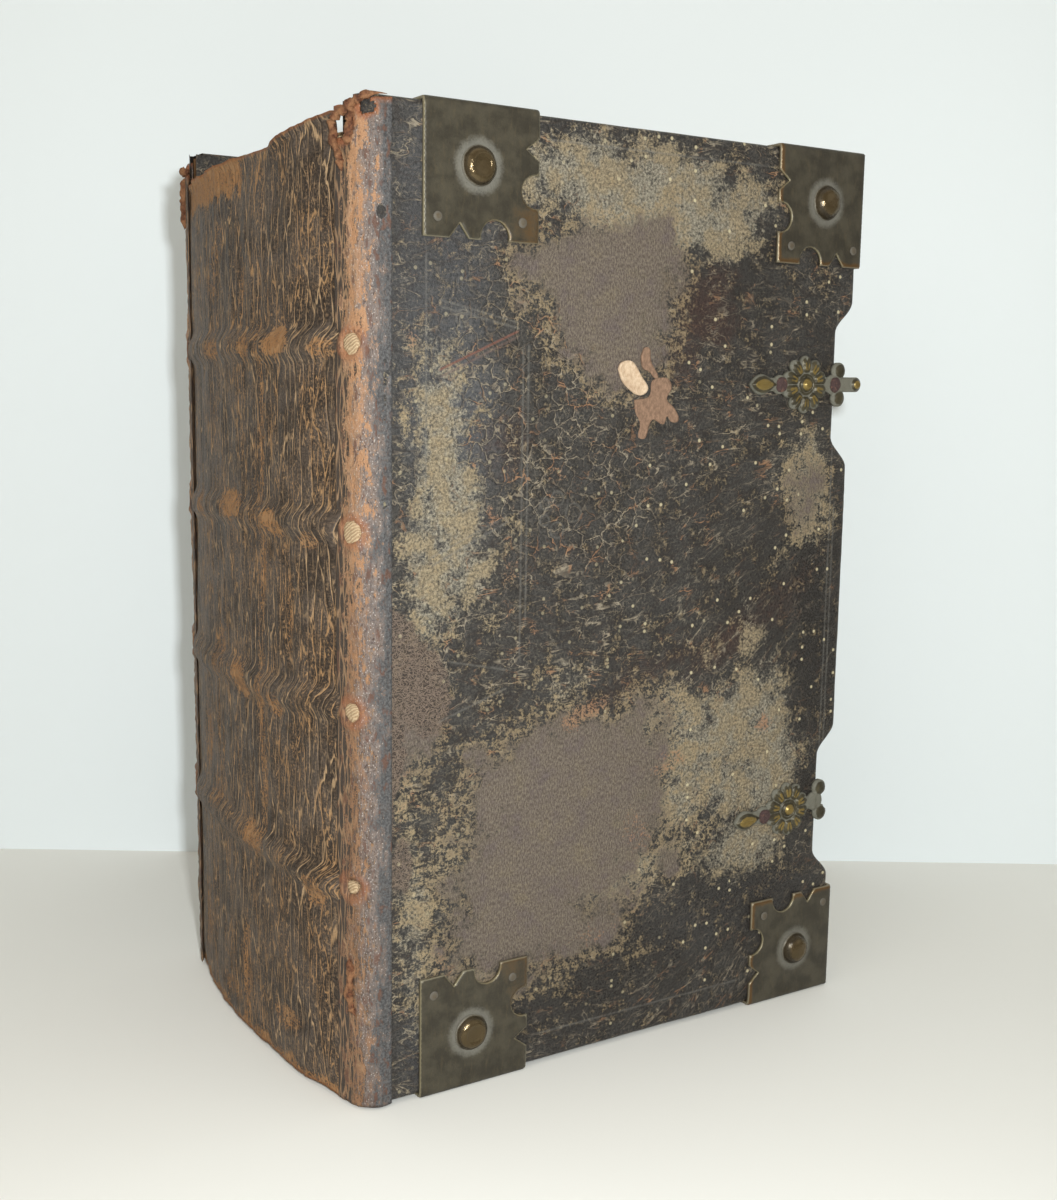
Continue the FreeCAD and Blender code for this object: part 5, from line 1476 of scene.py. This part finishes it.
def block_face(share_x, leaf, z, push_x=0.0, push_z=0.0):
    """Places on the text block: share_x from back to fore-edge, leaf from front (-1) to back (1)."""
    back = np.maximum(spine_x(leaf * BLOCK_HALF) + SPINE_THICK + 0.5, HINGE_X - 5.6)
    fore = BLOCK_FORE_X - FORE_HOLLOW * (1 - leaf ** 2)
    x = back + (fore - back) * share_x
    half = BLOCK_HALF - 0.05 + (SHOULDER_HALF - BLOCK_HALF) * rise(-x, -SHOULDER_X, -SHOULDER_X + 0.5)
    return np.stack([x + push_x, leaf * half, z + push_z], -1)


def leaf_fields(leaf):
    gather = np.abs(np.mod((leaf + 1) / 2 * GATHERINGS + 0.3 * lumps(leaf * 9, 0 * leaf, 1, 600), 1)
                    - 0.5) * 2
    return {"leaf": leaf, "gathering": rise(gather, 0.86, 1.0)}


leaf_steps = np.linspace(-1, 1, 221)
long_steps = np.concatenate([np.linspace(0, 0.03, 12), np.linspace(0.045, 1, 34)])
tall_steps = np.linspace(BLOCK_LOW, BLOCK_HIGH, 70)
block_parts = []
for end, face_z in (("head", BLOCK_HIGH), ("tail", BLOCK_LOW)):
    leaf, share_x = np.meshgrid(leaf_steps, long_steps)
    way = 1 if end == "head" else -1
    uneven = 0.16 * lumps(leaf * 60, share_x * 3, 1.0, 610) + 0.3 * lumps(leaf * 8, share_x, 1.0, 611) - 0.3
    if way < 0:
        uneven = -0.25 + 0.1 * lumps(leaf * 60, share_x * 3, 1.0, 610)
    uneven *= rise(share_x, 0, 0.02) * rise(-share_x, -1, -0.985)
    block_parts.append(("end_" + end, block_face(share_x, leaf, face_z, 0, way * uneven), leaf, way > 0))
leaf, tall = np.meshgrid(leaf_steps, tall_steps)
wave = 0.28 * lumps(leaf * 40, tall / 60, 1.0, 620) + 0.35 * lumps(leaf * 9, tall / 50, 1.0, 621) - 0.4
wave *= rise(-np.abs(tall - 97), -95, -93)
block_parts.append(("fore", block_face(np.ones(leaf.shape), leaf, tall, wave, 0), leaf, True))
block_parts.append(("back", block_face(np.zeros(leaf.shape), leaf, tall), leaf, False))
for flank in (-1.0, 1.0):
    share_x, tall = np.meshgrid(long_steps, tall_steps[::3])
    leaf = np.full(share_x.shape, flank)
    block_parts.append((f"flank_{int(flank)}", block_face(share_x, leaf, tall), leaf, flank < 0))
blocks = []
for part_name, points, leaf, forward in block_parts:
    faces = grid_faces(*points.shape[:2])
    faces = faces if forward else faces[:, ::-1]
    blocks.append(mesh_piece(part_name, points, faces, paper_edges, leaf_fields(leaf)))
leaves = join_pieces("leaves", blocks)
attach(leaves, "book_block")
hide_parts("text_block")


# Endbands: thin rolls sewn with linen thread over the ends of the gatherings, worn and dusty.
endband_thread = twisted_finish("endband_thread", linear(168, 142, 104), linear(96, 74, 52))
for band in ("head_band", "tail_band"):
    nodes[band].data.materials[0] = endband_thread


# Boards and pastedowns: planed beech boards, seen only at the joints, and browned laid paper pasted
# over the turned-in leather inside each cover.
def wood_finish(name):
    finish, start, place = new_finish(name)
    grain = place.stretch(1, 1, 0.06).wander(0.4, 0.6).cloud(1.3, 4.0, 0.6)
    pores = place.stretch(1, 1, 0.08).cloud(5.0, 2.0, 0.7)
    colour = grain.ease(0.3, 0.7).tint(linear(96, 70, 46), linear(150, 114, 78))
    colour = (pores.ease(0.6, 0.75) * 0.6).tint(colour, linear(60, 42, 28))
    close_finish(start, {"Base Color": colour, "Roughness": 0.7 + grain * 0.15,
                         "Normal": (grain * 0.6 - pores * 0.4).relief(0.0002)},
                 {"Specular IOR Level": 0.25})
    return finish


def laid_finish(name):
    finish, start, place = new_finish(name)
    laid = place.node("TexWave", {"bands_direction": "Z"},
                      {"Vector": place, "Scale": 0.28, "Distortion": 0.6}, 1)
    chain = place.node("TexWave", {"bands_direction": "X"},
                       {"Vector": place, "Scale": 0.0125, "Distortion": 0.2}, 1)
    fibre = place.cloud(1.2, 4.0, 0.7)
    foxing = place.spots(0.07).ease(0.2, 0.05) * place.cloud(0.3, 3.0).ease(0.4, 0.65)
    stain = place.cloud(0.02, 3.0)
    sheet = fibre.tint(linear(184, 162, 124), linear(212, 194, 158))
    sheet = (laid * 0.12 + chain.ease(0.9, 1.0) * 0.15).tint(sheet, linear(150, 126, 90))
    sheet = (stain.ease(0.5, 0.75) * 0.5).tint(sheet, linear(150, 118, 78))
    sheet = (foxing * 0.6).tint(sheet, linear(134, 88, 50))
    close_finish(start, {"Base Color": sheet, "Roughness": 0.85 + fibre * 0.1,
                         "Normal": (laid * 0.4 + fibre * 0.5).relief(0.0001)}, {"Specular IOR Level": 0.15})
    return finish


board_wood, pasted_paper = wood_finish("board_wood"), laid_finish("pasted_paper")
for word in SIDES:
    nodes[f"{word}_board"].data.materials[0] = board_wood
    nodes[f"{word}_pastedown"].data.materials[0] = pasted_paper
